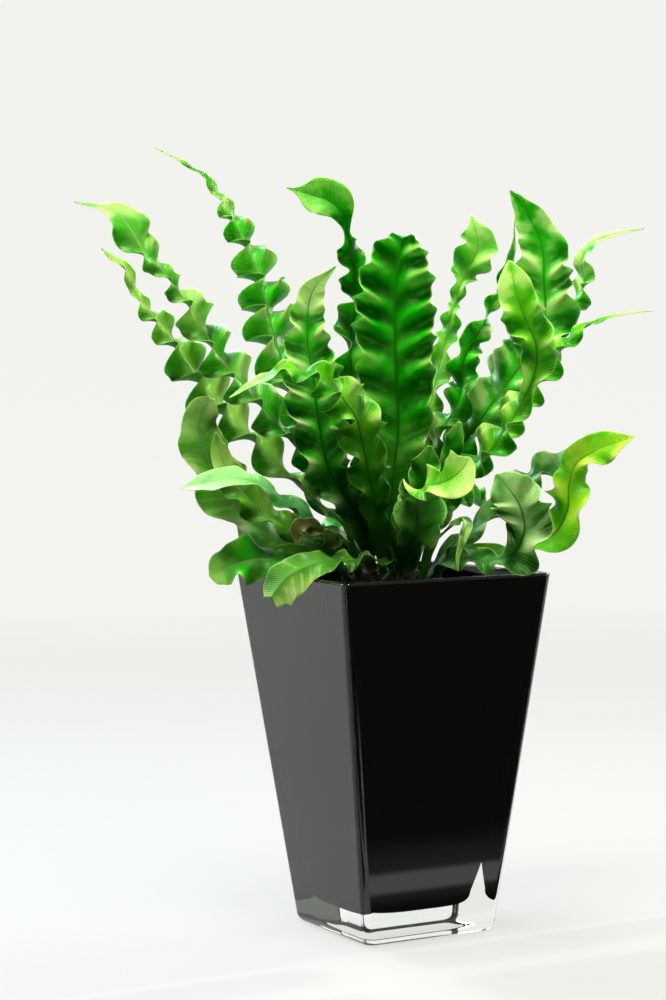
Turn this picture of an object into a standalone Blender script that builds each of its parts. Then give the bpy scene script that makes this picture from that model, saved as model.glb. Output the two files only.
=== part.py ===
# Potted crispy wave fern: a tapered square vase of clear glass over black glass,
# filled with growing mix, and a rosette of waved fronds that rise from one crown.
# Metres, Z up. The origin is the centre of the foot, and the vase's faces lie along X and Y.
# Frond sizes are in millimetres, in the plant's own frame: right, away and up from the
# middle of the vase's rim. PLANT_TURN turns that frame to the vase's faces.

import math
import random
from collections import namedtuple

import bpy
import numpy as np
from mathutils import Matrix, Vector
from mathutils.bvhtree import BVHTree

MM = 0.001

# Vase
VASE_HEIGHT = 0.200
RIM_HALF = 0.0655
FOOT_HALF = 0.0415
CORNER_RADIUS = 0.005
HEEL_RADIUS = 0.006
RIM_GLASS = 0.0022
BASE_GLASS = 0.016
LOW_GLASS = 0.0125
GLASS_CURVE = 3
BEND_HEIGHTS = (0.040, 0.070, 0.120)
CAVITY_ROUND = 0.006
LOW_CORNER = 0.020
LINING_WALL = 0.0020
LINING_FLOOR = 0.003
GAP = 0.0003
CORNER_STEPS = 4

# Growing mix and crown
SOIL_LEVEL = 0.187
SOIL_BUMP = 0.0012
SOIL_BETWEEN = 5
CROWN_RADIUS = 0.030
CROWN_TOP = 0.200
POCKET_DEPTH = 0.006
CROWN_SIDES = 24
SCALE_RELIEF = 0.0005
SOCKET_RADIUS = 0.0027
SOCKET_DEPTH = 0.007
SOCKET_SIDES = 8
SOCKET_SPACING = 0.0064
CUTTER_LENGTH = 0.030
TIER_RADIUS = (0.0045, 0.0115, 0.0180, 0.0240)
TIER_LEAN = tuple(math.radians(a) for a in (4, 14, 24, 34))

# Fronds
PLANT_TURN = math.radians(-30)
STALK_HALF = 1.6
STALK_LENGTH = 9.0
TIP_HALF = 0.4
BLADE_THICK = 1.0
RIB_BASE = 1.0
RIB_TIP = 0.15
VEIN_SWEEP = math.radians(27)
SWEEP_GROWS = (0.08, 0.25)
CHANNEL = 9
KEEL_GROWS = (0.55, 0.8)
WAKING = 0.06
CALMING = 0.16
DRIFTS = ((0.7, 1.9), (0.4, 0.8))
SWELL = 0.2
SWELL_RATE = 1.3
FOLD_LAG = 0.5
LOBING = 0.05
LOBE_SHIFT = 0.6
LOBES_GROW = (0.15, 0.4)
FACE_TURNS = (0.35, 0.85)
EASING = 0.022
WAVE_GATHER = 0.3
STATIONS_PER_WAVE = 4.55
REACH_STEPS = 8
SWOLLEN = 0.45
MAKE_ROOM_ROUNDS = 14
SPREAD_ROUNDS = 60
YIELD = 0.86

LEAF_ROUGHNESS = 0.32
DRY_ROUGHNESS = 0.8
TONES = {
    "deep": (0.014, 0.170, 0.006),
    "fresh": (0.040, 0.280, 0.010),
    "lime": (0.150, 0.450, 0.025),
    "pale": (0.220, 0.460, 0.080),
    "yellow": (0.300, 0.580, 0.035),
    "olive": (0.130, 0.230, 0.030),
    "bluish": (0.140, 0.370, 0.120),
    "grey": (0.120, 0.240, 0.110),
    "dry": (0.220, 0.130, 0.050),
}

FIELDS = "name tone tier midrib low_face tip_face outline pitch swing curl lag seed keel wake calm"
Frond = namedtuple("Frond", FIELDS)


def frond(name, tone, tier, midrib, low_face, tip_face, outline, pitch, swing, curl, lag, seed,
          keel=CHANNEL, wake=0.28, calm=0.76):
    """One frond: its tone, its tier on the crown, points of its midrib, the way its upper face looks near
    the crown and near the tip, its half width at places from 0 at the crown to 1 at the tip, the pitch and
    swing in degrees of its waves, how far out on the blade they gather, the lag between its sides, how far
    in degrees both sides rise from the midrib near the tip, and the places where its waves are fully awake
    and where they start to calm."""
    return Frond(name, tone, tier, midrib, low_face, tip_face, outline, pitch, swing, curl, lag, seed,
                 keel, wake, calm)


FRONDS = (
    frond("centre_upright", "deep", 0,
          ((1, -1, 40), (5, -4, 80), (4, -8, 120), (4, -10, 150), (8, -13, 185)),
          (0.0, -1.0, 0.1), (0.1, -1.0, 0.1),
          ((0, 1.6), (0.12, 5), (0.3, 16), (0.5, 23), (0.7, 26), (0.85, 23), (0.95, 15), (1, 6)),
          20, 41, 0.7, 0.3, 1, 9, 0.85, 0.96),
    frond("tall_curled", "deep", 0,
          ((-13, 8, 55), (-20, 12, 105), (-21, 14, 133), (-17, 14, 150), (-18, 12, 165), (-20, 8, 177),
           (-22, 3, 187), (-23, 0, 194), (-25, -3, 200), (-31, -5, 206), (-42, -6, 210), (-55, -7, 214)),
          (0.5, -0.9, 0.2), (0.2, -0.95, 0.1),
          ((0, 1.6), (0.15, 7), (0.4, 13), (0.6, 12), (0.7, 10), (0.76, 9), (0.8, 2), (0.83, 2), (0.855, 11),
           (0.885, 14), (0.915, 13), (0.945, 7), (0.97, 2), (1, 0.3)),
          26, 76, 0.4, 0.1, 2, 14, 0.28, 0.72),
    frond("right_slender", "fresh", 0,
          ((14, 12, 39), (29, 22, 76), (41, 27, 98), (43, 30, 117), (54, 32, 138), (61, 34, 153),
           (67, 34, 169), (72, 34, 184), (73, 34, 197)),
          (-0.65, -0.65, 0.35), (0.9, -0.5, 0.0),
          ((0, 1.6), (0.1, 3), (0.3, 9), (0.5, 12), (0.66, 9), (0.76, 6), (0.83, 4), (0.88, 7), (0.95, 1.5),
           (1, 0.3)),
          23, 74, 0.4, 0.1, 3),
    frond("middle_right", "deep", 1,
          ((16, -8, 36), (27, -12, 54), (35, -15, 69), (39, -17, 83)),
          (-0.2, -1.0, 0.4), (-0.2, -1.0, 0.2),
          ((0, 1.6), (0.25, 9), (0.6, 12), (0.85, 8), (1, 1)),
          22, 66, 0.6, 0.4, 4),
    frond("middle_front", "deep", 1,
          ((8, -17, 24), (14, -22, 39), (19, -26, 54), (22, -27, 70)),
          (0.0, -1.0, 0.4), (0.2, -1.0, 0.3),
          ((0, 1.6), (0.25, 9), (0.6, 13), (0.85, 9), (1, 1)),
          22, 62, 0.6, 0.4, 31),
    frond("left_upright", "fresh", 1,
          ((-17, -13, 30), (-33, -23, 57), (-38, -27, 81), (-41, -29, 107), (-44, -30, 132),
           (-41, -31, 155), (-28, -32, 169)),
          (0.1, -1.0, 0.2), (0.2, -1.0, 0.0),
          ((0, 1.6), (0.12, 5), (0.3, 14), (0.5, 19), (0.62, 19), (0.74, 13.5), (0.88, 8), (0.96, 2),
           (1, 0.4)),
          19, 46, 0.6, 0.15, 5),
    frond("left_corkscrew", "fresh", 1,
          ((-25, -1, 36), (-58, -4, 78), (-79, -10, 103), (-93, -14, 120), (-108, -20, 147),
           (-122, -28, 167), (-133, -30, 179), (-140, -30, 191), (-148, -30, 200), (-170, -30, 206)),
          (0.6, -0.65, 0.45), (0.3, -0.8, 0.5),
          ((0, 1.6), (0.1, 2.2), (0.22, 6), (0.34, 13), (0.5, 16), (0.66, 13), (0.75, 5), (0.81, 12),
           (0.86, 13.5), (0.9, 9), (0.93, 3.5), (0.96, 1.5), (1, 0.3)),
          23, 74, 0.4, 0.06, 6),
    frond("back_left_tall", "fresh", 1,
          ((-28, 25, 51), (-54, 50, 97), (-68, 70, 138), (-75, 80, 168), (-84, 85, 190), (-94, 90, 209),
           (-108, 92, 230), (-138, 95, 249)),
          (0.55, -0.8, 0.3), (0.5, -0.8, 0.4),
          ((0, 1.6), (0.1, 2.2), (0.2, 6), (0.32, 15), (0.5, 20), (0.66, 16), (0.76, 10), (0.84, 4),
           (0.9, 2), (1, 0.3)),
          24, 76, 0.4, 0.12, 7, 9, 0.28, 0.86),
    frond("front_arched", "lime", 1,
          ((-8, -22, 36), (-13, -35, 63), (-18, -45, 86), (-28, -52, 100), (-39, -56, 109),
           (-53, -58, 112), (-67, -60, 108), (-85, -60, 98)),
          (0.2, -1.0, 0.3), (0.0, -0.5, 1.0),
          ((0, 1.6), (0.1, 4), (0.3, 13), (0.5, 17), (0.65, 14), (0.78, 8), (0.88, 5), (0.95, 3),
           (1, 0.4)),
          20, 74, 0.6, 0.3, 8),
    frond("right_broad_tall", "fresh", 1,
          ((29, 24, 50), (55, 35, 87), (78, 40, 118), (90, 42, 143), (90, 42, 163), (89, 42, 183),
           (82, 41, 199), (71, 40, 215)),
          (-0.4, -0.9, 0.4), (-0.1, -1.0, 0.0),
          ((0, 1.6), (0.12, 5), (0.3, 13), (0.5, 19), (0.66, 21.5), (0.78, 18), (0.88, 12), (0.94, 7),
           (1, 0.3)),
          23, 52, 0.6, 0.1, 9, 9, 0.28, 0.74),
    frond("right_curling", "lime", 1,
          ((28, -15, 43), (51, -22, 62), (66, -28, 82), (75, -32, 98), (80, -36, 112), (80, -40, 124),
           (75, -43, 136), (70, -44, 149), (68, -43, 159), (66, -40, 170)),
          (-0.6, -0.6, 0.6), (0.0, -1.0, 0.1),
          ((0, 1.6), (0.1, 4), (0.3, 12), (0.45, 13), (0.57, 9), (0.63, 3), (0.68, 11), (0.76, 14),
           (0.86, 13), (0.93, 9), (0.97, 5), (1, 0.5)),
          24, 68, 0.5, 0.15, 10, 12, 0.28, 0.76),
    frond("right_back_leafy", "pale", 1,
          ((15, 30, 50), (25, 48, 96), (33, 58, 127), (39, 64, 151), (45, 68, 168), (53, 70, 184),
           (50, 72, 203)),
          (-0.65, -0.65, 0.3), (0.1, -1.0, 0.1),
          ((0, 1.6), (0.1, 3), (0.3, 7), (0.5, 9), (0.68, 8), (0.77, 3.5), (0.82, 11), (0.88, 15),
           (0.925, 12.5), (0.96, 5), (1, 0.4)),
          24, 72, 0.4, 0.1, 11, 9, 0.28, 0.84),
    frond("back_upright", "deep", 1,
          ((-2, 32, 45), (-8, 54, 82), (-13, 66, 112), (-16, 72, 138)),
          (0.1, -0.9, 0.5), (0.0, -1.0, 0.2),
          ((0, 1.6), (0.25, 12), (0.55, 15), (0.8, 11), (1, 0.5)),
          25, 68, 0.6, 0.4, 12),
    frond("left_lower_corkscrew", "olive", 2,
          ((-25, 9, 24), (-46, 14, 43), (-76, 20, 73), (-94, 24, 90), (-113, 30, 116), (-128, 34, 138),
           (-143, 37, 156), (-150, 38, 172), (-164, 38, 185)),
          (0.5, -0.6, 0.6), (0.4, -0.7, 0.5),
          ((0, 1.6), (0.1, 2.2), (0.22, 6), (0.34, 14), (0.5, 19), (0.62, 17), (0.72, 11), (0.8, 8),
           (0.86, 3), (0.92, 5), (1, 0.3)),
          25, 74, 0.4, 0.08, 13, 9, 0.28, 0.88),
    frond("left_small", "olive", 2,
          ((-34, -10, 18), (-58, -13, 27), (-83, -14, 47), (-93, -14, 64), (-96, -14, 79)),
          (0.2, -0.7, 0.7), (0.2, -1.0, 0.2),
          ((0, 1.6), (0.25, 8), (0.6, 12), (0.8, 9), (0.92, 5), (1, 0.4)),
          24, 55, 0.8, 0.3, 14),
    frond("left_glossy", "bluish", 2,
          ((-28, -22, 18), (-49, -28, 33), (-63, -32, 45), (-72, -34, 51), (-84, -36, 54),
           (-98, -38, 52), (-114, -38, 49)),
          (0.2, -0.5, 0.9), (0.0, -0.6, 0.9),
          ((0, 1.6), (0.2, 5), (0.4, 11), (0.53, 9), (0.61, 4), (0.72, 10), (0.84, 11), (0.94, 5),
           (1, 0.3)),
          25, 62, 0.8, 0.2, 15, 9, 0.28, 0.6),
    frond("right_pointing", "lime", 2,
          ((33, 0, 40), (64, 2, 80), (88, 4, 110), (101, 6, 128), (114, 8, 137), (130, 8, 142),
           (148, 8, 144)),
          (-0.5, -0.5, 0.7), (-0.3, -0.6, 0.8),
          ((0, 1.6), (0.1, 3), (0.2, 7), (0.32, 12), (0.5, 13), (0.64, 10), (0.72, 9), (0.8, 4), (0.88, 1.5),
           (1, 0.3)),
          23, 74, 0.4, 0.1, 16),
    frond("right_back_curly", "fresh", 2,
          ((28, 38, 45), (44, 52, 77), (59, 60, 101), (83, 64, 127), (104, 66, 146), (115, 66, 162),
           (114, 66, 175), (120, 66, 186), (133, 66, 191), (150, 66, 194)),
          (-0.5, -0.7, 0.5), (-0.6, -0.7, 0.5),
          ((0, 1.6), (0.1, 3), (0.22, 7), (0.36, 13), (0.55, 15), (0.66, 12), (0.74, 10), (0.82, 6),
           (0.9, 3), (1, 0.3)),
          24, 76, 0.4, 0.1, 17),
    frond("front_right_curl", "lime", 2,
          ((10, -30, 13), (14, -42, 21), (16, -54, 33), (16, -64, 44), (19, -74, 50), (25, -81, 51),
           (32, -85, 54), (38, -86, 59), (42, -86, 65)),
          (0.1, 0.8, 0.7), (-0.1, -0.9, 0.5),
          ((0, 1.6), (0.2, 8), (0.45, 16), (0.6, 13), (0.7, 14), (0.77, 8), (0.86, 17), (0.94, 9), (1, 0.5)),
          18, 62, 0.8, 0.3, 18, 12, 0.28, 0.7),
    frond("back_right_low", "fresh", 2,
          ((20, 40, 22), (34, 62, 36), (46, 84, 40), (56, 104, 30)),
          (-0.2, -0.3, 1.0), (0.2, 0.4, 1.0),
          ((0, 1.6), (0.2, 7), (0.5, 15), (0.75, 13), (0.92, 6), (1, 0.4)),
          26, 72, 0.6, 0.4, 19),
    frond("back_middle_low", "deep", 2,
          ((-2, 42, 24), (-4, 66, 44), (-4, 92, 54), (-2, 116, 48)),
          (0.0, -0.4, 1.0), (0.0, 0.3, 1.0),
          ((0, 1.6), (0.2, 7), (0.5, 16), (0.75, 14), (0.92, 6), (1, 0.4)),
          26, 72, 0.6, 0.4, 20),
    frond("left_broad", "fresh", 3,
          ((-36, 4, 12), (-64, 5, 18), (-83, 6, 33), (-96, 6, 52), (-104, 6, 69), (-107, 6, 84),
           (-100, 8, 98)),
          (0.2, -0.6, 0.8), (0.3, -1.0, 0.3),
          ((0, 1.6), (0.15, 7), (0.32, 19), (0.6, 21), (0.8, 17), (0.93, 11), (1, 2)),
          30, 34, 0.7, 0.3, 21),
    frond("front_left_low", "deep", 3,
          ((-32, -16, 8), (-55, -26, 8), (-77, -32, 9), (-99, -34, 1)),
          (0.1, -0.6, 0.9), (-0.2, -0.9, 0.4),
          ((0, 1.6), (0.2, 6), (0.45, 13), (0.7, 16), (0.85, 13), (0.95, 7), (1, 0.5)),
          33, 48, 0.7, 0.3, 22),
    frond("front_drooping", "olive", 3,
          ((1, -27, 4), (-7, -38, 9), (-22, -48, 9), (-42, -57, 8), (-56, -61, 1), (-64, -62, -9)),
          (0.0, -0.3, 1.0), (-0.5, -0.9, 0.3),
          ((0, 1.6), (0.15, 5), (0.35, 6), (0.55, 9), (0.75, 15), (0.9, 14), (1, 6)),
          15, 66, 0.6, 0.3, 23, -18, 0.24, 0.48),
    frond("front_strap", "olive", 3,
          ((22, -22, 14), (34, -34, 27), (41, -43, 30), (39, -51, 21), (36, -55, 12), (36, -57, 4)),
          (0.1, -0.5, 0.9), (0.6, -0.8, 0.0),
          ((0, 1.6), (0.3, 4), (0.7, 4), (1, 0.5)),
          20, 30, 1.0, 0.3, 24),
    frond("front_right_low", "grey", 3,
          ((33, -30, 8), (54, -42, 8), (66, -48, 12), (72, -52, 24), (70, -55, 37), (64, -56, 47),
           (57, -54, 55)),
          (-0.2, -0.6, 0.8), (0.0, -1.0, 0.2),
          ((0, 1.6), (0.15, 5), (0.4, 14), (0.6, 18), (0.8, 17), (0.92, 10), (1, 0.4)),
          18, 64, 0.7, 0.3, 25),
    frond("right_low_yellow", "yellow", 3,
          ((36, -8, 9), (66, -12, 10), (90, -14, 20), (98, -14, 33), (99, -14, 47), (103, -14, 59),
           (115, -14, 67), (135, -14, 74)),
          (-0.3, -0.6, 0.8), (0.1, -1.0, 0.4),
          ((0, 1.6), (0.15, 5), (0.42, 10), (0.53, 14), (0.62, 16), (0.69, 12), (0.745, 8), (0.81, 12),
           (0.87, 10.5), (0.94, 5), (1, 0.3)),
          30, 56, 0.7, 0.3, 26),
    frond("right_back_dull", "grey", 3,
          ((36, 26, 12), (64, 42, 32), (82, 50, 50), (99, 52, 58), (115, 52, 61)),
          (-0.3, -0.5, 0.9), (-0.1, -0.7, 0.8),
          ((0, 1.6), (0.2, 6), (0.5, 11), (0.8, 12), (0.93, 8), (1, 2)),
          24, 62, 0.7, 0.3, 27),
    frond("back_left_low", "fresh", 3,
          ((-22, 36, 14), (-42, 62, 22), (-62, 84, 20), (-78, 100, 8)),
          (0.2, -0.3, 1.0), (-0.3, 0.3, 1.0),
          ((0, 1.6), (0.2, 7), (0.5, 15), (0.75, 13), (0.92, 6), (1, 0.4)),
          27, 72, 0.6, 0.4, 28),
    frond("dried", "dry", 3,
          ((-21, -26, 12), (-34, -37, 21), (-43, -44, 28), (-50, -47, 27), (-50, -48, 19)),
          (0.2, -0.6, 0.8), (-0.2, -1.0, 0.2),
          ((0, 1.6), (0.3, 5), (0.6, 6), (0.85, 5), (1, 1)),
          14, 85, 0.4, 0.5, 29),
)


# Shared helpers

def clear_scene():
    """Start from an empty scene."""
    for item in list(bpy.data.objects):
        bpy.data.objects.remove(item, do_unlink=True)


def make_material(name, colour, roughness, metallic=0.0, transmission=0.0):
    """A Principled material in one plain finish."""
    material = bpy.data.materials.new(name)
    material.use_nodes = True
    shader = material.node_tree.nodes["Principled BSDF"]
    shader.inputs["Base Color"].default_value = (*colour, 1.0)
    shader.inputs["Roughness"].default_value = roughness
    shader.inputs["Metallic"].default_value = metallic
    shader.inputs["Transmission Weight"].default_value = transmission
    return material


def add_object(name, vertices, faces, material):
    """A mesh object with its faces turned out."""
    mesh = bpy.data.meshes.new(name)
    mesh.from_pydata([tuple(v) for v in vertices], [], faces)
    mesh.materials.append(material)
    mesh.validate()
    item = bpy.data.objects.new(name, mesh)
    bpy.context.scene.collection.objects.link(item)
    return item


def lerp(a, b, t):
    return a + (b - a) * t


def smoothstep(low, high, x):
    t = np.clip((x - low) / (high - low), 0.0, 1.0)
    return t * t * (3 - 2 * t)


def unit(v):
    return v / np.maximum(np.linalg.norm(v, axis=-1, keepdims=True), 1e-12)


# Vase

def rounded_square(half, radius, z, between=0):
    """Points round a square with rounded corners, counterclockwise, with more between the corners."""
    points = []
    flat = half - radius
    for corner in range(4):
        start = corner * math.pi / 2
        turn = Matrix.Rotation(start, 2)
        for step in range(between):
            along = lerp(-flat, flat, (step + 1) / (between + 1))
            points.append(turn @ Vector((half, along)))
        for step in range(CORNER_STEPS + 1):
            angle = step * math.pi / 2 / CORNER_STEPS
            points.append(turn @ Vector((flat + radius * math.cos(angle), flat + radius * math.sin(angle))))
    return [(p.x, p.y, z) for p in points]


def loft(rings):
    """Closed surface through rings of equal count, with the first and last ring filled."""
    count = len(rings[0])
    vertices = [p for ring in rings for p in ring]
    faces = [tuple(reversed(range(count)))]
    for level in range(len(rings) - 1):
        for i in range(count):
            j = (i + 1) % count
            a, b = level * count, (level + 1) * count
            faces.append((a + i, a + j, b + j, b + i))
    last = (len(rings) - 1) * count
    faces.append(tuple(range(last, last + count)))
    return vertices, faces


def outer_half(z):
    return lerp(FOOT_HALF, RIM_HALF, z / VASE_HEIGHT)


def cavity_half(z):
    """Half width of the hollow in the clear glass, whose wall thickens downwards in a curve."""
    depth = (VASE_HEIGHT - z) / (VASE_HEIGHT - BASE_GLASS)
    return outer_half(z) - lerp(RIM_GLASS, LOW_GLASS, depth ** GLASS_CURVE)


def cavity_corner(z):
    """Radius of the hollow's upright corners, which also grows downwards in a curve."""
    depth = (VASE_HEIGHT - z) / (VASE_HEIGHT - BASE_GLASS)
    return lerp(CORNER_RADIUS, LOW_CORNER, depth ** GLASS_CURVE)


def cavity_rings(inset, floor, top, between=0, turns=4):
    """Rings of the hollow from the floor's round up to the top, moved in by inset."""
    low = floor + CAVITY_ROUND
    rings = []
    for turn in range(turns + 1):
        angle = turn * math.pi / 2 / turns
        z = floor + CAVITY_ROUND * (1 - math.cos(angle))
        pull = CAVITY_ROUND * (1 - math.sin(angle))
        rings.append(rounded_square(cavity_half(low) - inset - pull, cavity_corner(low) - inset, z, between))
    for z in (*BEND_HEIGHTS, top):
        rings.append(rounded_square(cavity_half(z) - inset, cavity_corner(z) - inset, z, between))
    return rings


def build_vase_glass(material):
    """Clear glass: the tapered outside, a rounded heel, a thick base and the hollow for the lining."""
    rings = []
    for turn in range(5):
        angle = turn * math.pi / 8
        z = HEEL_RADIUS * (1 - math.cos(angle))
        half = outer_half(HEEL_RADIUS) - HEEL_RADIUS * (1 - math.sin(angle)) * 0.8
        rings.append(rounded_square(half, CORNER_RADIUS, z))
    rings.append(rounded_square(RIM_HALF, CORNER_RADIUS, VASE_HEIGHT))
    rings += reversed(cavity_rings(0.0, BASE_GLASS, VASE_HEIGHT))
    return add_object("vase_glass", *loft(rings), material)


def build_vase_lining(material):
    """Black inner glass that follows the hollow of the clear glass up to the rim."""
    floor = BASE_GLASS + GAP
    outside = cavity_rings(GAP, floor, VASE_HEIGHT)
    inside = cavity_rings(GAP + LINING_WALL, floor + LINING_FLOOR, VASE_HEIGHT)
    return add_object("vase_lining", *loft(outside + list(reversed(inside))), material)


# Growing mix and crown

def circle_like(ring, radius, z, blend):
    """A ring between a rounded square and the circle that keeps the same bearings."""
    points = []
    for x, y, _ in ring:
        reach = math.hypot(x, y)
        size = lerp(reach, radius, blend)
        points.append((x / reach * size, y / reach * size, z))
    return points


def build_soil(material):
    """Growing mix that fills the lining, with a lumpy top and a round pocket for the crown."""
    rng = random.Random(5)
    floor = BASE_GLASS + GAP + LINING_FLOOR + GAP
    inset = 2 * GAP + LINING_WALL
    rings = cavity_rings(inset, floor, SOIL_LEVEL, SOIL_BETWEEN)
    edge = rings[-1]
    for blend in (0.25, 0.5, 0.75):
        ring = circle_like(edge, CROWN_RADIUS, SOIL_LEVEL, blend)
        rings.append([(x, y, z + rng.uniform(-0.5, 1.0) * SOIL_BUMP) for x, y, z in ring])
    pocket = CROWN_RADIUS + GAP
    rings.append(circle_like(edge, pocket, SOIL_LEVEL, 1.0))
    rings.append(circle_like(edge, pocket, SOIL_LEVEL - POCKET_DEPTH, 1.0))
    return add_object("growing_mix", *loft(rings), material)


def crown_height(radius):
    """Height of the crown's dome above the mix at a distance from its middle."""
    fall = (radius / CROWN_RADIUS) ** 2
    return lerp(CROWN_TOP, SOIL_LEVEL + 0.003, fall)


def build_crown(material, sockets):
    """Scaly rhizome: a low dome with rows of scales and a plain hole for each stalk."""
    floor = SOIL_LEVEL - POCKET_DEPTH + GAP
    low = 0.97 * CROWN_RADIUS
    outline = [(low, floor), (CROWN_RADIUS - GAP, floor + 0.002), (CROWN_RADIUS - GAP, SOIL_LEVEL + 0.002)]
    rows = 5
    for row in range(1, rows):
        radius = CROWN_RADIUS * (1 - row / rows)
        outline.append((radius, crown_height(radius)))
    rings = []
    for index, (radius, z) in enumerate(outline):
        ring = []
        for side in range(CROWN_SIDES):
            angle = side * 2 * math.pi / CROWN_SIDES
            raised = SCALE_RELIEF if (side + index) % 2 and index > 2 else 0.0
            ring.append((radius * math.cos(angle), radius * math.sin(angle), z + raised))
        rings.append(ring)
    crown = add_object("crown", *loft(rings), material)
    cutters = bpy.data.collections.new("socket_cutters")
    for place, axis in sockets:
        cutters.objects.link(socket_cutter(place, axis))
    cut = crown.modifiers.new("sockets", "BOOLEAN")
    cut.operation = "DIFFERENCE"
    cut.operand_type = "COLLECTION"
    cut.collection = cutters
    apply_modifiers(crown)
    for cutter in list(cutters.objects):
        bpy.data.objects.remove(cutter, do_unlink=True)
    bpy.data.collections.remove(cutters)
    return crown


def socket_cutter(place, axis):
    """A plain round bar that starts at the bottom of a stalk's hole."""
    across = unit(np.cross(axis, (0.0, 1.0, 0.31)))
    other = np.cross(axis, across)
    rings = []
    for reach in (0.0, CUTTER_LENGTH):
        ring = []
        for side in range(SOCKET_SIDES):
            angle = side * 2 * math.pi / SOCKET_SIDES
            spoke = math.cos(angle) * across + math.sin(angle) * other
            ring.append(tuple(place + axis * reach + SOCKET_RADIUS * spoke))
        rings.append(ring)
    vertices, faces = loft(rings)
    mesh = bpy.data.meshes.new("socket_cutter")
    mesh.from_pydata(vertices, [], faces)
    return bpy.data.objects.new("socket_cutter", mesh)


def apply_modifiers(item):
    """Keep the evaluated mesh and drop the modifiers."""
    graph = bpy.context.evaluated_depsgraph_get()
    mesh = bpy.data.meshes.new_from_object(item.evaluated_get(graph))
    item.modifiers.clear()
    item.data = mesh


# Fronds

def to_plant(points):
    """Millimetres right, away and up from the rim's middle, turned into the vase's frame in metres."""
    points = np.asarray(points, float) * MM
    c, s = math.cos(PLANT_TURN), math.sin(PLANT_TURN)
    x = points[..., 0] * c - points[..., 1] * s
    y = points[..., 0] * s + points[..., 1] * c
    return np.stack([x, y, points[..., 2] + VASE_HEIGHT], axis=-1)


def spread(bearings, least):
    """Bearings in rising order, moved apart until no two neighbours are closer than the least angle."""
    bearings = list(bearings)
    for _ in range(SPREAD_ROUNDS):
        for k in range(len(bearings)):
            after = (k + 1) % len(bearings)
            push = (least - (bearings[after] - bearings[k]) % (2 * math.pi)) / 2
            if push > 0:
                bearings[k] -= push
                bearings[after] += push
    return bearings


def place_sockets():
    """The bottom and axis of each frond's hole: one ring a tier, in the order of the fronds' bearings."""
    sockets = {}
    for tier, radius in enumerate(TIER_RADIUS):
        members = [f for f in FRONDS if f.tier == tier]
        bearing = {f.name: math.atan2(*to_plant(f.midrib[1])[1::-1]) for f in members}
        members.sort(key=lambda f: bearing[f.name])
        even = 2 * math.pi / len(members)
        least = min(2 * math.asin(SOCKET_SPACING / 2 / radius), even)
        for member, angle in zip(members, spread([bearing[f.name] for f in members], least)):
            outward = np.array([math.cos(angle), math.sin(angle), 0.0])
            lean = TIER_LEAN[tier]
            axis = outward * math.sin(lean) + np.array([0.0, 0.0, math.cos(lean)])
            mouth = outward * radius + np.array([0.0, 0.0, crown_height(radius)])
            sockets[member.name] = (mouth - axis * SOCKET_DEPTH, axis)
    return sockets


def stations(count):
    """Places along a frond from 0 at the crown to 1 at the tip, closer together towards the tip."""
    waves = np.linspace(0.0, 1.0, count)
    start = 1.0 - WAVE_GATHER
    return (np.sqrt(start ** 2 + 4 * WAVE_GATHER * waves) - start) / (2 * WAVE_GATHER)


def smooth_curve(points, count):
    """Points at the stations of a centripetal curve through the given ones, and its length."""
    points = np.asarray(points, float)
    padded = np.vstack([2 * points[0] - points[1], points, 2 * points[-1] - points[-2]])
    knots = np.concatenate([[0.0], np.cumsum(np.linalg.norm(np.diff(padded, axis=0), axis=1) ** 0.5)])
    dense = []
    for i in range(1, len(padded) - 2):
        t0, t1, t2, t3 = knots[i - 1:i + 3]
        p0, p1, p2, p3 = padded[i - 1:i + 3]
        t = np.linspace(t1, t2, 40, endpoint=False)[:, None]
        a1 = (t1 - t) / (t1 - t0) * p0 + (t - t0) / (t1 - t0) * p1
        a2 = (t2 - t) / (t2 - t1) * p1 + (t - t1) / (t2 - t1) * p2
        a3 = (t3 - t) / (t3 - t2) * p2 + (t - t2) / (t3 - t2) * p3
        b1 = (t2 - t) / (t2 - t0) * a1 + (t - t0) / (t2 - t0) * a2
        b2 = (t3 - t) / (t3 - t1) * a2 + (t - t1) / (t3 - t1) * a3
        dense.append((t2 - t) / (t2 - t1) * b1 + (t - t1) / (t2 - t1) * b2)
    dense = np.vstack(dense + [padded[-2:-1]])
    reach = np.concatenate([[0.0], np.cumsum(np.linalg.norm(np.diff(dense, axis=0), axis=1))])
    places = reach[-1] * stations(count)
    return np.stack([np.interp(places, reach, dense[:, k]) for k in range(3)], axis=1), reach[-1]


def frond_spine(member, socket, count):
    """Stations along a frond: their points, the tangents, the upper face's normals and the length."""
    place, axis = socket
    start = [place + axis * (GAP + reach * SOCKET_DEPTH) for reach in (0.0, 0.6, 1.2)]
    route = np.vstack([start, to_plant(member.midrib)])
    points, length = smooth_curve(route, count)
    tangent = unit(np.gradient(points, axis=0))
    along = stations(count)[:, None]
    turn = Matrix.Rotation(PLANT_TURN, 3, "Z")
    low = np.array(turn @ Vector(member.low_face).normalized())
    tip = np.array(turn @ Vector(member.tip_face).normalized())
    face = lerp(low, tip, smoothstep(*FACE_TURNS, along))
    normal = unit(face - (face * tangent).sum(axis=1, keepdims=True) * tangent)
    return points, tangent, normal, length / MM


def blade_half_width(member, along, length, room):
    """Half width in millimetres along the frond: its outline with the corners eased, less the narrowing."""
    places, halves = zip(*member.outline)
    easing = np.minimum(EASING, 1.0 - along)
    nearby = along[:, None] + easing[:, None] * np.linspace(-1.0, 1.0, 9)
    width = np.interp(nearby, places, halves).mean(axis=1)
    blade = smoothstep(STALK_LENGTH, 3 * STALK_LENGTH, along * length)
    width = np.maximum(lerp(STALK_HALF, width, blade), TIP_HALF)
    return np.maximum(width * room, np.minimum(width, lerp(STALK_HALF, TIP_HALF, along)))


def channel(member, along):
    """How far both sides of the blade rise from the midrib, as an angle at each place along it."""
    return np.radians(lerp(CHANNEL, member.keel, smoothstep(*KEEL_GROWS, along)))


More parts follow.
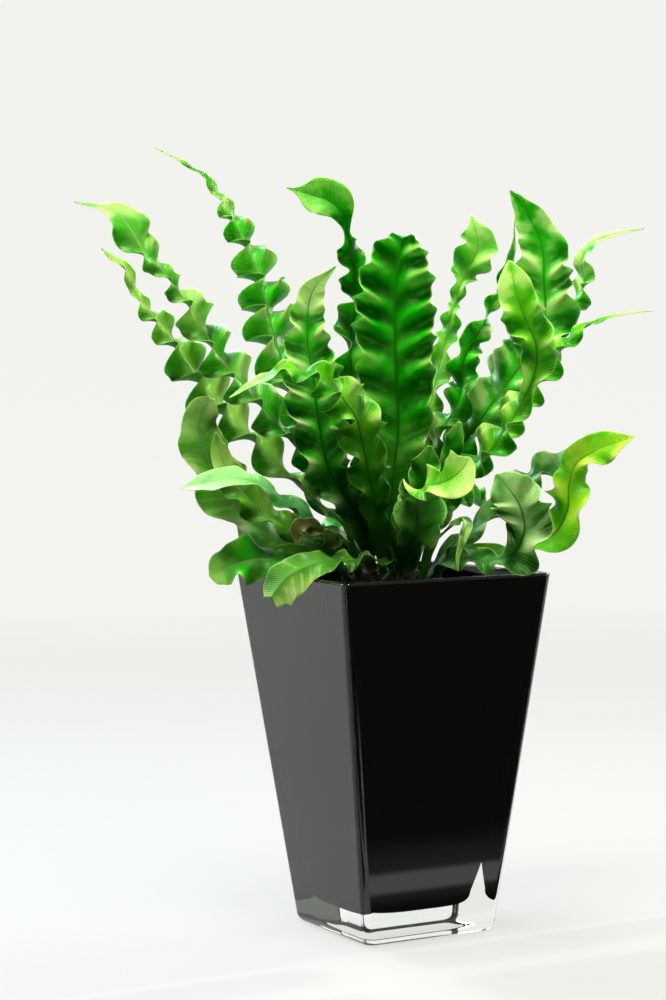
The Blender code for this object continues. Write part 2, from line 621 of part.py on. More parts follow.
def liveliness(member, along):
    """The share of their full swing that the waves have at each place: none at the crown and at the tip."""
    return smoothstep(WAKING, member.wake, along) * smoothstep(member.calm + CALMING, member.calm, along)


def waves(member, side, along, length, rng):
    """Phase and swing of one side's waves along the frond. Their beat drifts, so no two waves are alike."""
    wave = np.linspace(0.0, 1.0, len(along)) * length / member.pitch
    phase = 2 * math.pi * (wave + (member.lag if side > 0 else 0.0))
    for size, rate in DRIFTS:
        phase = phase + size * np.sin(rate * wave + rng.uniform(0, 2 * math.pi))
    swell = 1.0 + SWELL * np.sin(SWELL_RATE * wave + rng.uniform(0, 2 * math.pi))
    return phase, math.radians(member.swing) * swell * liveliness(member, along)


def spread_out(side, spine, width, phase, angle, edges):
    """Points from the midrib to one margin at each station, along veins that rise by the given angles."""
    points, tangent, normal, _ = spine
    along = stations(len(points))
    across = np.cross(tangent, normal) * side
    sweep = VEIN_SWEEP * smoothstep(*SWEEP_GROWS, along)[:, None]
    move = np.cos(angle)[..., None] * across[:, None, :] + np.sin(angle)[..., None] * normal[:, None, :]
    move = (tangent * np.sin(sweep))[:, None, :] + np.cos(sweep)[..., None] * move
    lobed = width * (1 + LOBING * np.cos(phase + LOBE_SHIFT) * smoothstep(*LOBES_GROW, along))
    move = move * (lobed[:, None] * MM * np.diff(edges))[..., None]
    return points[:, None, :] + np.cumsum(move, axis=1)


def blade_side(member, side, spine, width):
    """One side of the blade, which swings up and down in waves."""
    along = stations(len(spine[0]))
    rng = random.Random(member.seed * 2 + (side > 0))
    phase, swing = waves(member, side, along, spine[3], rng)
    reach = (np.arange(REACH_STEPS) + 0.5) / REACH_STEPS
    turn = phase[:, None] + FOLD_LAG * reach
    angle = channel(member, along)[:, None] + swing[:, None] * np.sin(turn) * reach ** member.curl
    return spread_out(side, spine, width, phase, angle, np.linspace(0.0, 1.0, REACH_STEPS + 1))


def frond_surface(member, socket, count, lateral, room, swollen=0.0):
    """Upper and lower faces of a frond as grids of points, margin to margin."""
    spine = frond_spine(member, socket, count)
    along = stations(count)
    width = blade_half_width(member, along, spine[3], room)
    pick = np.arange(1, lateral + 1) * (REACH_STEPS // lateral) - 1
    left = blade_side(member, -1, spine, width)[:, pick][:, ::-1]
    right = blade_side(member, 1, spine, width)[:, pick]
    middle = np.concatenate([left, spine[0][:, None, :], right], axis=1)
    normal = unit(np.cross(np.gradient(middle, axis=1), np.gradient(middle, axis=0)))
    half_thick = BLADE_THICK / 2 + swollen
    rib = np.zeros(2 * lateral + 1)
    rib[lateral] = 1.0
    rib_depth = lerp(RIB_BASE, RIB_TIP, smoothstep(0.0, 0.9, along))
    below = (half_thick + rib_depth[:, None] * rib) * MM
    upper = middle + normal * (half_thick * MM)
    lower = middle - normal * below[..., None]
    return upper, lower


def surface_mesh(upper, lower):
    """Closed triangles round the two faces, split alike above and below."""
    count, columns = upper.shape[:2]
    ring = 2 * columns
    vertices = np.concatenate([upper, lower[:, ::-1]], axis=1).reshape(-1, 3)
    faces = []
    for k in range(count - 1):
        a, b = k * ring, (k + 1) * ring
        for i in range(ring):
            j = (i + 1) % ring
            if i < columns:
                faces += [(a + i, a + j, b + j), (a + i, b + j, b + i)]
            else:
                faces += [(a + i, a + j, b + i), (a + j, b + j, b + i)]
    last = (count - 1) * ring
    for i in range(columns - 1):
        j = ring - 1 - i
        faces += [(i, j, i + 1), (i + 1, j, j - 1)]
        faces += [(last + i, last + i + 1, last + j), (last + i + 1, last + j - 1, last + j)]
    return vertices, faces


def station_count(member, socket):
    """Enough stations to draw each wave."""
    length = frond_spine(member, socket, 60)[3]
    return int(round(length / member.pitch * STATIONS_PER_WAVE)) + 4


def make_room(sockets, obstacles):
    """Narrow the blades only where two would cross, and return each frond's narrowing along its length."""
    counts = {f.name: station_count(f, sockets[f.name]) for f in FRONDS}
    room = {f.name: np.ones(counts[f.name]) for f in FRONDS}
    for _ in range(MAKE_ROOM_ROUNDS):
        trees = {}
        for member in FRONDS:
            name = member.name
            grids = frond_surface(member, sockets[name], counts[name], 1, room[name], SWOLLEN)
            vertices, faces = surface_mesh(*grids)
            trees[name] = BVHTree.FromPolygons([tuple(v) for v in vertices], faces)
        crossing = {name: set() for name in room}
        for first, member in enumerate(FRONDS):
            for other in FRONDS[first + 1:]:
                for a, b in trees[member.name].overlap(trees[other.name]):
                    crossing[member.name].add(a // 12)
                    crossing[other.name].add(b // 12)
            for obstacle in obstacles:
                for a, _ in trees[member.name].overlap(obstacle):
                    crossing[member.name].add(a // 12)
        if not any(crossing.values()):
            break
        for name, stations in crossing.items():
            factor = np.ones(counts[name])
            for station in stations:
                factor[max(station - 1, 0):station + 3] = YIELD
            narrowed = room[name] * factor
            padded = np.pad(narrowed, 1, mode="edge")
            room[name] = np.minimum(narrowed, (padded[:-2] + 2 * narrowed + padded[2:]) / 4)
    return room, counts


def tree_of(item):
    """Search tree of a mesh, to test the fronds against."""
    points = [vertex.co for vertex in item.data.vertices]
    return BVHTree.FromPolygons(points, [tuple(face.vertices) for face in item.data.polygons])


def build_fronds(sockets, obstacles):
    """One closed blade for each frond."""
    room, counts = make_room(sockets, obstacles)
    for member in FRONDS:
        name = member.name
        grids = frond_surface(member, sockets[name], counts[name], 1, room[name])
        vertices, faces = surface_mesh(*grids)
        roughness = DRY_ROUGHNESS if name == "dried" else LEAF_ROUGHNESS
        blade = make_material("leaf_" + name, TONES[member.tone], roughness)
        add_object("frond_" + name, vertices, faces, blade)


def main():
    clear_scene()
    clear_glass = make_material("clear_glass", (0.92, 0.95, 0.93), 0.02, 0.0, 1.0)
    black_glass = make_material("black_glass", (0.006, 0.006, 0.006), 0.05)
    mix = make_material("peat_mix", (0.045, 0.028, 0.016), 0.95)
    scaly = make_material("brown_scales", (0.10, 0.055, 0.025), 0.85)
    sockets = place_sockets()
    glass = build_vase_glass(clear_glass)
    lining = build_vase_lining(black_glass)
    build_soil(mix)
    build_crown(scaly, list(sockets.values()))
    build_fronds(sockets, [tree_of(glass), tree_of(lining)])


main()
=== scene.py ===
# Looks of the potted crispy wave fern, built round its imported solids: fine waved blades for the
# fronds, the cased glass vase, the growing mix and the scaly crown, with floor, lights and camera.
# Metres, Z up. The origin is the centre of the foot, and the vase's faces lie along X and Y.
# Frond sizes are in millimetres, in the plant's own frame: right, away and up from the
# middle of the vase's rim. PLANT_TURN turns that frame to the vase's faces.

import math
import random
from collections import namedtuple

import bmesh
import bpy
import numpy as np
from mathutils import Matrix, Vector, noise
from mathutils.bvhtree import BVHTree


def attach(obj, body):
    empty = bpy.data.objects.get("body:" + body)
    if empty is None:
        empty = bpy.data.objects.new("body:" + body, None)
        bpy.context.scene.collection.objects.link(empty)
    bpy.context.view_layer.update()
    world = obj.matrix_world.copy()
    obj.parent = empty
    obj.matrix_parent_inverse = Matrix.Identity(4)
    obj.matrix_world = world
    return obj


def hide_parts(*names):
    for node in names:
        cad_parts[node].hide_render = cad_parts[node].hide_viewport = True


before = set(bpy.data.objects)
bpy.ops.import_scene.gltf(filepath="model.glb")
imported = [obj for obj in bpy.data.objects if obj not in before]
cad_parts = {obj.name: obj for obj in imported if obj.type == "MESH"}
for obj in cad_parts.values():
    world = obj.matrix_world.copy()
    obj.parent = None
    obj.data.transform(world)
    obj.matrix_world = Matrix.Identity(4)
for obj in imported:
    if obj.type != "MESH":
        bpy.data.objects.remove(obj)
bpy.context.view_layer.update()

MM = 0.001
TAU = 2 * math.pi
VASE_HEIGHT = 0.200
RIM_HALF = 0.0655
FOOT_HALF = 0.0415
CORNER_RADIUS = 0.005
HEEL_RADIUS = 0.006
RIM_GLASS = 0.0022
BASE_GLASS = 0.016
LOW_GLASS = 0.0125
GLASS_CURVE = 3
CAVITY_ROUND = 0.006
LOW_CORNER = 0.020
LINING_WALL = 0.0020
LINING_FLOOR = 0.003
GAP = 0.0003
SOIL_LEVEL = 0.187
CROWN_RADIUS = 0.030
CROWN_TOP = 0.200
CROWN_EDGE = 0.003
POCKET_DEPTH = 0.006
SOCKET_DEPTH = 0.007
SOCKET_REACHES = (0.0, 0.6, 1.2)
SOCKET_SPACING = 0.0064
TIER_RADIUS = (0.0045, 0.0115, 0.0180, 0.0240)
TIER_LEAN = tuple(math.radians(a) for a in (4, 14, 24, 34))
PLANT_TURN = math.radians(-30)
STALK_HALF = 1.6
STALK_LENGTH = 9.0
TIP_HALF = 0.4
BLADE_THICK = 1.0
RIB_BASE = 1.0
RIB_TIP = 0.15
RIB_FADES = (0.0, 0.9)
VEIN_SWEEP = math.radians(27)
CHANNEL = 9
CALMING = 0.16
SWEEP_GROWS = (0.08, 0.25)
KEEL_GROWS = (0.55, 0.8)
WAKING = 0.06
WAKE = 0.28
CALM = 0.76
DRIFTS = ((0.7, 1.9), (0.4, 0.8))
SWELL = 0.2
SWELL_RATE = 1.3
FOLD_LAG = 0.5
LOBE_SHIFT = 0.6
LOBES_GROW = (0.15, 0.4)
FACE_TURNS = (0.35, 0.85)
LOBING = 0.05
EASING = 0.022
EASING_STEPS = 9
CURVE_STEPS = 40
MEASURE_STATIONS = 60
WAVE_GATHER = 0.3
STATIONS_PER_WAVE = 4.55
REACH_STEPS = 8
SWOLLEN = 0.45
MAKE_ROOM_ROUNDS = 14
SPREAD_ROUNDS = 60
YIELD = 0.86
FACES_A_STATION = 12

# Finer than the solids
FINE_STEP = 1.0
FINE_LATERAL = 10
COLUMN_SPREAD = 1.3
FINE_THICK = 0.42
STALK_THICK = 2.2
FINE_RIB = 1.1
FINE_RIB_TIP = 0.15
RIB_SPREAD = 0.9
RIB_ABOVE = 0.15
EDGE_THINS = 0.4
STALK_ROUND = 0.9
RIPPLE_PITCH = 11.0
RIPPLE_SWING = math.radians(5)
RIPPLE_STRAY = 1.3
RIPPLE_DRIFT = 2.3
RIPPLE_ENDS = (1.0, 0.93)
RIPPLE_GATHER = 2.5
VEIN_PITCH = 1.15
BAND_PITCH = 6.1
FINE_CORNER = 10
FINE_HEIGHTS = (0.026, 0.030, 0.035, 0.041, 0.048, 0.057, 0.068, 0.082, 0.100, 0.130)
SUPPORT = 0.0004
LIP_STEPS = 8
LIP_DROP = 0.0011
HEEL_DEPTH = 0.8
CONTACT = 0.00005
MIX_RINGS = 30
MIX_LUMPS = ((0.0014, 120, 1.0), (0.0011, 330, 4.0), (0.0005, 900, 9.0))
CRUMBS = 420
CRUMB_SIZES = (0.0006, 0.0021)
CRUMB_WIDE = (0.7, 1.3)
CRUMB_FLAT = (0.5, 0.9)
CRUMB_ROUGH = 0.45
CRUMB_GRAIN = 1.3
CRUMB_LIFT = 0.0006
CRUMB_MARGIN = 0.003
CROWN_SIDES = 64
CROWN_STEPS = 16
CROWN_RIM = 0.002
SCALE_ROWS = 13
SCALE_STEPS = 5
SCALE_PITCH = 0.0019
SCALE_SEAT = 0.0004
SCALE_THICK = 0.00016
SCALE_POINT = 0.00008
SCALE_ARCH = 0.3
SCALE_BENDS = (-0.5, 0.6)
SCALE_LIFTS = (0.2, 0.9)
SCALE_LENGTHS = (0.0035, 0.0058)
SCALE_HALVES = (0.0007, 0.0012)

# Studio: metres, but places in the plant's frame are in millimetres
FLOOR_FRONT = -1.6
WALL_AWAY = 3.0
WALL_CURVE = 1.0
WALL_STEPS = 16
WALL_HEIGHT = 6.2
STUDIO_HALF = 6.2
SURROUND_RADIUS = 9.0
SURROUND_DROP = 0.002
SURROUND_HEIGHT = 7.0
SURROUND_SIDES = 64
GLOW_PLACES = (0.7, 2.6)
GLOW_LEVELS = (0.765, 1.0)
CARD_LEFT = -0.45
CARD_RIGHT = 0.30
CARD_PROFILE = ((-0.050, 0.0006), (-0.165, 0.0006), (-0.178, 0.006), (-0.180, 0.44))
CARD_BANDS = (((-0.066, -0.060), (-0.050, -0.056)), ((-0.130, -0.118), (-0.096, -0.106)))
CARD_FADE = ((-0.176, -0.13), (-0.08, -0.10))
CARD_LINE = ((-0.10, -0.08), (-0.03, -0.05))
CARD_LINE_UP = (0.07, 0.03)
LIGHTS = (
    ("top", (-150, -350, 1300), 0.45, 37.0, (1.0, 0.98, 0.93)),
    ("key", (700, -900, 600), 0.6, 8.0, (1.0, 0.96, 0.89)),
    ("back", (-700, 700, 900), 0.6, 28.0, (0.72, 0.93, 1.0)),
    ("rim", (800, 600, 600), 0.5, 14.0, (1.0, 0.98, 0.85)),
)
WORLD_COLOUR = (0.9, 1.0, 0.8, 1.0)
WORLD_STRENGTH = 0.10
AIM = (0, 0, 40)
CAMERA_PLACE = (0, -1321, 94)
CAMERA_PITCH = math.radians(-2.33)
CAMERA_YAW = math.radians(-1.38)
CAMERA_ROLL = math.radians(-0.72)
LENS = 85
SENSOR = 36

# A frond has a tone, its tier on the crown, points of its midrib, the way its upper face looks near the
# crown and near the tip, its half width at places from 0 at the crown to 1 at the tip, the pitch and
# swing in degrees of its waves, how far out on the blade they gather, the lag between its sides, a seed,
# how far in degrees both sides rise from the midrib near the tip, and the places where its waves are
# fully awake and where they start to calm.
FIELDS = "name tone tier midrib low_face tip_face outline pitch swing curl lag seed keel wake calm"
Frond = namedtuple("Frond", FIELDS, defaults=(CHANNEL, WAKE, CALM))

FRONDS = (
    Frond("centre_upright", "deep", 0,
        ((1, -1, 40), (5, -4, 80), (4, -8, 120), (4, -10, 150), (8, -13, 185)),
        (0.0, -1.0, 0.1), (0.1, -1.0, 0.1),
        ((0, 1.6), (0.12, 5), (0.3, 16), (0.5, 23), (0.7, 26), (0.85, 23), (0.95, 15), (1, 6)),
        20, 41, 0.7, 0.3, 1, 9, 0.85, 0.96),
    Frond("tall_curled", "deep", 0,
        ((-13, 8, 55), (-20, 12, 105), (-21, 14, 133), (-17, 14, 150), (-18, 12, 165), (-20, 8, 177),
         (-22, 3, 187), (-23, 0, 194), (-25, -3, 200), (-31, -5, 206), (-42, -6, 210), (-55, -7, 214)),
        (0.5, -0.9, 0.2), (0.2, -0.95, 0.1),
        ((0, 1.6), (0.15, 7), (0.4, 13), (0.6, 12), (0.7, 10), (0.76, 9), (0.8, 2), (0.83, 2), (0.855, 11),
         (0.885, 14), (0.915, 13), (0.945, 7), (0.97, 2), (1, 0.3)),
        26, 76, 0.4, 0.1, 2, 14, 0.28, 0.72),
    Frond("right_slender", "fresh", 0,
        ((14, 12, 39), (29, 22, 76), (41, 27, 98), (43, 30, 117), (54, 32, 138), (61, 34, 153),
         (67, 34, 169), (72, 34, 184), (73, 34, 197)),
        (-0.65, -0.65, 0.35), (0.9, -0.5, 0.0),
        ((0, 1.6), (0.1, 3), (0.3, 9), (0.5, 12), (0.66, 9), (0.76, 6), (0.83, 4), (0.88, 7), (0.95, 1.5),
         (1, 0.3)),
        23, 74, 0.4, 0.1, 3),
    Frond("middle_right", "deep", 1,
        ((16, -8, 36), (27, -12, 54), (35, -15, 69), (39, -17, 83)),
        (-0.2, -1.0, 0.4), (-0.2, -1.0, 0.2),
        ((0, 1.6), (0.25, 9), (0.6, 12), (0.85, 8), (1, 1)),
        22, 66, 0.6, 0.4, 4),
    Frond("middle_front", "deep", 1,
        ((8, -17, 24), (14, -22, 39), (19, -26, 54), (22, -27, 70)),
        (0.0, -1.0, 0.4), (0.2, -1.0, 0.3),
        ((0, 1.6), (0.25, 9), (0.6, 13), (0.85, 9), (1, 1)),
        22, 62, 0.6, 0.4, 31),
    Frond("left_upright", "fresh", 1,
        ((-17, -13, 30), (-33, -23, 57), (-38, -27, 81), (-41, -29, 107), (-44, -30, 132),
         (-41, -31, 155), (-28, -32, 169)),
        (0.1, -1.0, 0.2), (0.2, -1.0, 0.0),
        ((0, 1.6), (0.12, 5), (0.3, 14), (0.5, 19), (0.62, 19), (0.74, 13.5), (0.88, 8), (0.96, 2),
         (1, 0.4)),
        19, 46, 0.6, 0.15, 5),
    Frond("left_corkscrew", "fresh", 1,
        ((-25, -1, 36), (-58, -4, 78), (-79, -10, 103), (-93, -14, 120), (-108, -20, 147),
         (-122, -28, 167), (-133, -30, 179), (-140, -30, 191), (-148, -30, 200), (-170, -30, 206)),
        (0.6, -0.65, 0.45), (0.3, -0.8, 0.5),
        ((0, 1.6), (0.1, 2.2), (0.22, 6), (0.34, 13), (0.5, 16), (0.66, 13), (0.75, 5), (0.81, 12),
         (0.86, 13.5), (0.9, 9), (0.93, 3.5), (0.96, 1.5), (1, 0.3)),
        23, 74, 0.4, 0.06, 6),
    Frond("back_left_tall", "fresh", 1,
        ((-28, 25, 51), (-54, 50, 97), (-68, 70, 138), (-75, 80, 168), (-84, 85, 190), (-94, 90, 209),
         (-108, 92, 230), (-138, 95, 249)),
        (0.55, -0.8, 0.3), (0.5, -0.8, 0.4),
        ((0, 1.6), (0.1, 2.2), (0.2, 6), (0.32, 15), (0.5, 20), (0.66, 16), (0.76, 10), (0.84, 4),
         (0.9, 2), (1, 0.3)),
        24, 76, 0.4, 0.12, 7, 9, 0.28, 0.86),
    Frond("front_arched", "lime", 1,
        ((-8, -22, 36), (-13, -35, 63), (-18, -45, 86), (-28, -52, 100), (-39, -56, 109),
         (-53, -58, 112), (-67, -60, 108), (-85, -60, 98)),
        (0.2, -1.0, 0.3), (0.0, -0.5, 1.0),
        ((0, 1.6), (0.1, 4), (0.3, 13), (0.5, 17), (0.65, 14), (0.78, 8), (0.88, 5), (0.95, 3),
         (1, 0.4)),
        20, 74, 0.6, 0.3, 8),
    Frond("right_broad_tall", "fresh", 1,
        ((29, 24, 50), (55, 35, 87), (78, 40, 118), (90, 42, 143), (90, 42, 163), (89, 42, 183),
         (82, 41, 199), (71, 40, 215)),
        (-0.4, -0.9, 0.4), (-0.1, -1.0, 0.0),
        ((0, 1.6), (0.12, 5), (0.3, 13), (0.5, 19), (0.66, 21.5), (0.78, 18), (0.88, 12), (0.94, 7),
         (1, 0.3)),
        23, 52, 0.6, 0.1, 9, 9, 0.28, 0.74),
    Frond("right_curling", "lime", 1,
        ((28, -15, 43), (51, -22, 62), (66, -28, 82), (75, -32, 98), (80, -36, 112), (80, -40, 124),
         (75, -43, 136), (70, -44, 149), (68, -43, 159), (66, -40, 170)),
        (-0.6, -0.6, 0.6), (0.0, -1.0, 0.1),
        ((0, 1.6), (0.1, 4), (0.3, 12), (0.45, 13), (0.57, 9), (0.63, 3), (0.68, 11), (0.76, 14),
         (0.86, 13), (0.93, 9), (0.97, 5), (1, 0.5)),
        24, 68, 0.5, 0.15, 10, 12, 0.28, 0.76),
    Frond("right_back_leafy", "pale", 1,
        ((15, 30, 50), (25, 48, 96), (33, 58, 127), (39, 64, 151), (45, 68, 168), (53, 70, 184),
         (50, 72, 203)),
        (-0.65, -0.65, 0.3), (0.1, -1.0, 0.1),
        ((0, 1.6), (0.1, 3), (0.3, 7), (0.5, 9), (0.68, 8), (0.77, 3.5), (0.82, 11), (0.88, 15),
         (0.925, 12.5), (0.96, 5), (1, 0.4)),
        24, 72, 0.4, 0.1, 11, 9, 0.28, 0.84),
    Frond("back_upright", "deep", 1,
        ((-2, 32, 45), (-8, 54, 82), (-13, 66, 112), (-16, 72, 138)),
        (0.1, -0.9, 0.5), (0.0, -1.0, 0.2),
        ((0, 1.6), (0.25, 12), (0.55, 15), (0.8, 11), (1, 0.5)),
        25, 68, 0.6, 0.4, 12),
    Frond("left_lower_corkscrew", "olive", 2,
        ((-25, 9, 24), (-46, 14, 43), (-76, 20, 73), (-94, 24, 90), (-113, 30, 116), (-128, 34, 138),
         (-143, 37, 156), (-150, 38, 172), (-164, 38, 185)),
        (0.5, -0.6, 0.6), (0.4, -0.7, 0.5),
        ((0, 1.6), (0.1, 2.2), (0.22, 6), (0.34, 14), (0.5, 19), (0.62, 17), (0.72, 11), (0.8, 8),
         (0.86, 3), (0.92, 5), (1, 0.3)),
        25, 74, 0.4, 0.08, 13, 9, 0.28, 0.88),
    Frond("left_small", "olive", 2,
        ((-34, -10, 18), (-58, -13, 27), (-83, -14, 47), (-93, -14, 64), (-96, -14, 79)),
        (0.2, -0.7, 0.7), (0.2, -1.0, 0.2),
        ((0, 1.6), (0.25, 8), (0.6, 12), (0.8, 9), (0.92, 5), (1, 0.4)),
        24, 55, 0.8, 0.3, 14),
    Frond("left_glossy", "bluish", 2,
        ((-28, -22, 18), (-49, -28, 33), (-63, -32, 45), (-72, -34, 51), (-84, -36, 54),
         (-98, -38, 52), (-114, -38, 49)),
        (0.2, -0.5, 0.9), (0.0, -0.6, 0.9),
        ((0, 1.6), (0.2, 5), (0.4, 11), (0.53, 9), (0.61, 4), (0.72, 10), (0.84, 11), (0.94, 5),
         (1, 0.3)),
        25, 62, 0.8, 0.2, 15, 9, 0.28, 0.6),
    Frond("right_pointing", "lime", 2,
        ((33, 0, 40), (64, 2, 80), (88, 4, 110), (101, 6, 128), (114, 8, 137), (130, 8, 142),
         (148, 8, 144)),
        (-0.5, -0.5, 0.7), (-0.3, -0.6, 0.8),
        ((0, 1.6), (0.1, 3), (0.2, 7), (0.32, 12), (0.5, 13), (0.64, 10), (0.72, 9), (0.8, 4), (0.88, 1.5),
         (1, 0.3)),
        23, 74, 0.4, 0.1, 16),
    Frond("right_back_curly", "fresh", 2,
        ((28, 38, 45), (44, 52, 77), (59, 60, 101), (83, 64, 127), (104, 66, 146), (115, 66, 162),
         (114, 66, 175), (120, 66, 186), (133, 66, 191), (150, 66, 194)),
        (-0.5, -0.7, 0.5), (-0.6, -0.7, 0.5),
        ((0, 1.6), (0.1, 3), (0.22, 7), (0.36, 13), (0.55, 15), (0.66, 12), (0.74, 10), (0.82, 6),
         (0.9, 3), (1, 0.3)),
        24, 76, 0.4, 0.1, 17),
    Frond("front_right_curl", "lime", 2,
        ((10, -30, 13), (14, -42, 21), (16, -54, 33), (16, -64, 44), (19, -74, 50), (25, -81, 51),
         (32, -85, 54), (38, -86, 59), (42, -86, 65)),
        (0.1, 0.8, 0.7), (-0.1, -0.9, 0.5),
        ((0, 1.6), (0.2, 8), (0.45, 16), (0.6, 13), (0.7, 14), (0.77, 8), (0.86, 17), (0.94, 9), (1, 0.5)),
        18, 62, 0.8, 0.3, 18, 12, 0.28, 0.7),
    Frond("back_right_low", "fresh", 2,
        ((20, 40, 22), (34, 62, 36), (46, 84, 40), (56, 104, 30)),
        (-0.2, -0.3, 1.0), (0.2, 0.4, 1.0),
        ((0, 1.6), (0.2, 7), (0.5, 15), (0.75, 13), (0.92, 6), (1, 0.4)),
        26, 72, 0.6, 0.4, 19),
    Frond("back_middle_low", "deep", 2,
        ((-2, 42, 24), (-4, 66, 44), (-4, 92, 54), (-2, 116, 48)),
        (0.0, -0.4, 1.0), (0.0, 0.3, 1.0),
        ((0, 1.6), (0.2, 7), (0.5, 16), (0.75, 14), (0.92, 6), (1, 0.4)),
        26, 72, 0.6, 0.4, 20),
    Frond("left_broad", "fresh", 3,
        ((-36, 4, 12), (-64, 5, 18), (-83, 6, 33), (-96, 6, 52), (-104, 6, 69), (-107, 6, 84),
         (-100, 8, 98)),
        (0.2, -0.6, 0.8), (0.3, -1.0, 0.3),
        ((0, 1.6), (0.15, 7), (0.32, 19), (0.6, 21), (0.8, 17), (0.93, 11), (1, 2)),
        30, 34, 0.7, 0.3, 21),
    Frond("front_left_low", "deep", 3,
        ((-32, -16, 8), (-55, -26, 8), (-77, -32, 9), (-99, -34, 1)),
        (0.1, -0.6, 0.9), (-0.2, -0.9, 0.4),
        ((0, 1.6), (0.2, 6), (0.45, 13), (0.7, 16), (0.85, 13), (0.95, 7), (1, 0.5)),
        33, 48, 0.7, 0.3, 22),
    Frond("front_drooping", "olive", 3,
        ((1, -27, 4), (-7, -38, 9), (-22, -48, 9), (-42, -57, 8), (-56, -61, 1), (-64, -62, -9)),
        (0.0, -0.3, 1.0), (-0.5, -0.9, 0.3),
        ((0, 1.6), (0.15, 5), (0.35, 6), (0.55, 9), (0.75, 15), (0.9, 14), (1, 6)),
        15, 66, 0.6, 0.3, 23, -18, 0.24, 0.48),
    Frond("front_strap", "olive", 3,
        ((22, -22, 14), (34, -34, 27), (41, -43, 30), (39, -51, 21), (36, -55, 12), (36, -57, 4)),
        (0.1, -0.5, 0.9), (0.6, -0.8, 0.0),
        ((0, 1.6), (0.3, 4), (0.7, 4), (1, 0.5)),
        20, 30, 1.0, 0.3, 24),
    Frond("front_right_low", "grey", 3,
        ((33, -30, 8), (54, -42, 8), (66, -48, 12), (72, -52, 24), (70, -55, 37), (64, -56, 47),
         (57, -54, 55)),
        (-0.2, -0.6, 0.8), (0.0, -1.0, 0.2),
        ((0, 1.6), (0.15, 5), (0.4, 14), (0.6, 18), (0.8, 17), (0.92, 10), (1, 0.4)),
        18, 64, 0.7, 0.3, 25),
    Frond("right_low_yellow", "yellow", 3,
        ((36, -8, 9), (66, -12, 10), (90, -14, 20), (98, -14, 33), (99, -14, 47), (103, -14, 59),
         (115, -14, 67), (135, -14, 74)),
        (-0.3, -0.6, 0.8), (0.1, -1.0, 0.4),
        ((0, 1.6), (0.15, 5), (0.42, 10), (0.53, 14), (0.62, 16), (0.69, 12), (0.745, 8), (0.81, 12),
         (0.87, 10.5), (0.94, 5), (1, 0.3)),
        30, 56, 0.7, 0.3, 26),
    Frond("right_back_dull", "grey", 3,
        ((36, 26, 12), (64, 42, 32), (82, 50, 50), (99, 52, 58), (115, 52, 61)),
        (-0.3, -0.5, 0.9), (-0.1, -0.7, 0.8),
        ((0, 1.6), (0.2, 6), (0.5, 11), (0.8, 12), (0.93, 8), (1, 2)),
        24, 62, 0.7, 0.3, 27),
    Frond("back_left_low", "fresh", 3,
        ((-22, 36, 14), (-42, 62, 22), (-62, 84, 20), (-78, 100, 8)),
        (0.2, -0.3, 1.0), (-0.3, 0.3, 1.0),
        ((0, 1.6), (0.2, 7), (0.5, 15), (0.75, 13), (0.92, 6), (1, 0.4)),
        27, 72, 0.6, 0.4, 28),
    Frond("dried", "dry", 3,
        ((-21, -26, 12), (-34, -37, 21), (-43, -44, 28), (-50, -47, 27), (-50, -48, 19)),
        (0.2, -0.6, 0.8), (-0.2, -1.0, 0.2),
        ((0, 1.6), (0.3, 5), (0.6, 6), (0.85, 5), (1, 1)),
        14, 85, 0.4, 0.5, 29),
)

# Shared helpers

def lerp(a, b, t):
    return a + (b - a) * t


def smoothstep(low, high, x):
    t = np.clip((x - low) / (high - low), 0.0, 1.0)
    return t * t * (3 - 2 * t)


def unit(v):
    return v / np.maximum(np.linalg.norm(v, axis=-1, keepdims=True), 1e-12)


def outer_half(z):
    return lerp(FOOT_HALF, RIM_HALF, z / VASE_HEIGHT)


def cavity_half(z):
    """Half width of the hollow in the clear glass, whose wall thickens downwards in a curve."""
    depth = (VASE_HEIGHT - z) / (VASE_HEIGHT - BASE_GLASS)
    return outer_half(z) - lerp(RIM_GLASS, LOW_GLASS, depth ** GLASS_CURVE)


def cavity_corner(z):
    """Radius of the hollow's upright corners, which also grows downwards in a curve."""
    depth = (VASE_HEIGHT - z) / (VASE_HEIGHT - BASE_GLASS)
    return lerp(CORNER_RADIUS, LOW_CORNER, depth ** GLASS_CURVE)


def to_plant(points):
    """Millimetres right, away and up from the rim's middle, turned into the vase's frame in metres."""
    points = np.asarray(points, float) * MM
    c, s = math.cos(PLANT_TURN), math.sin(PLANT_TURN)
    x = points[..., 0] * c - points[..., 1] * s
    y = points[..., 0] * s + points[..., 1] * c
    return np.stack([x, y, points[..., 2] + VASE_HEIGHT], axis=-1)


def spread(bearings, least):
    """Bearings in rising order, moved apart until no two neighbours are closer than the least angle."""
    bearings = list(bearings)
    for _ in range(SPREAD_ROUNDS):
        for k in range(len(bearings)):
            after = (k + 1) % len(bearings)
            push = (least - (bearings[after] - bearings[k]) % TAU) / 2
            if push > 0:
                bearings[k] -= push
                bearings[after] += push
    return bearings


def crown_height(radius):
    """Height of the crown's dome above the mix at a distance from its middle."""
    fall = (radius / CROWN_RADIUS) ** 2
    return lerp(CROWN_TOP, SOIL_LEVEL + CROWN_EDGE, fall)


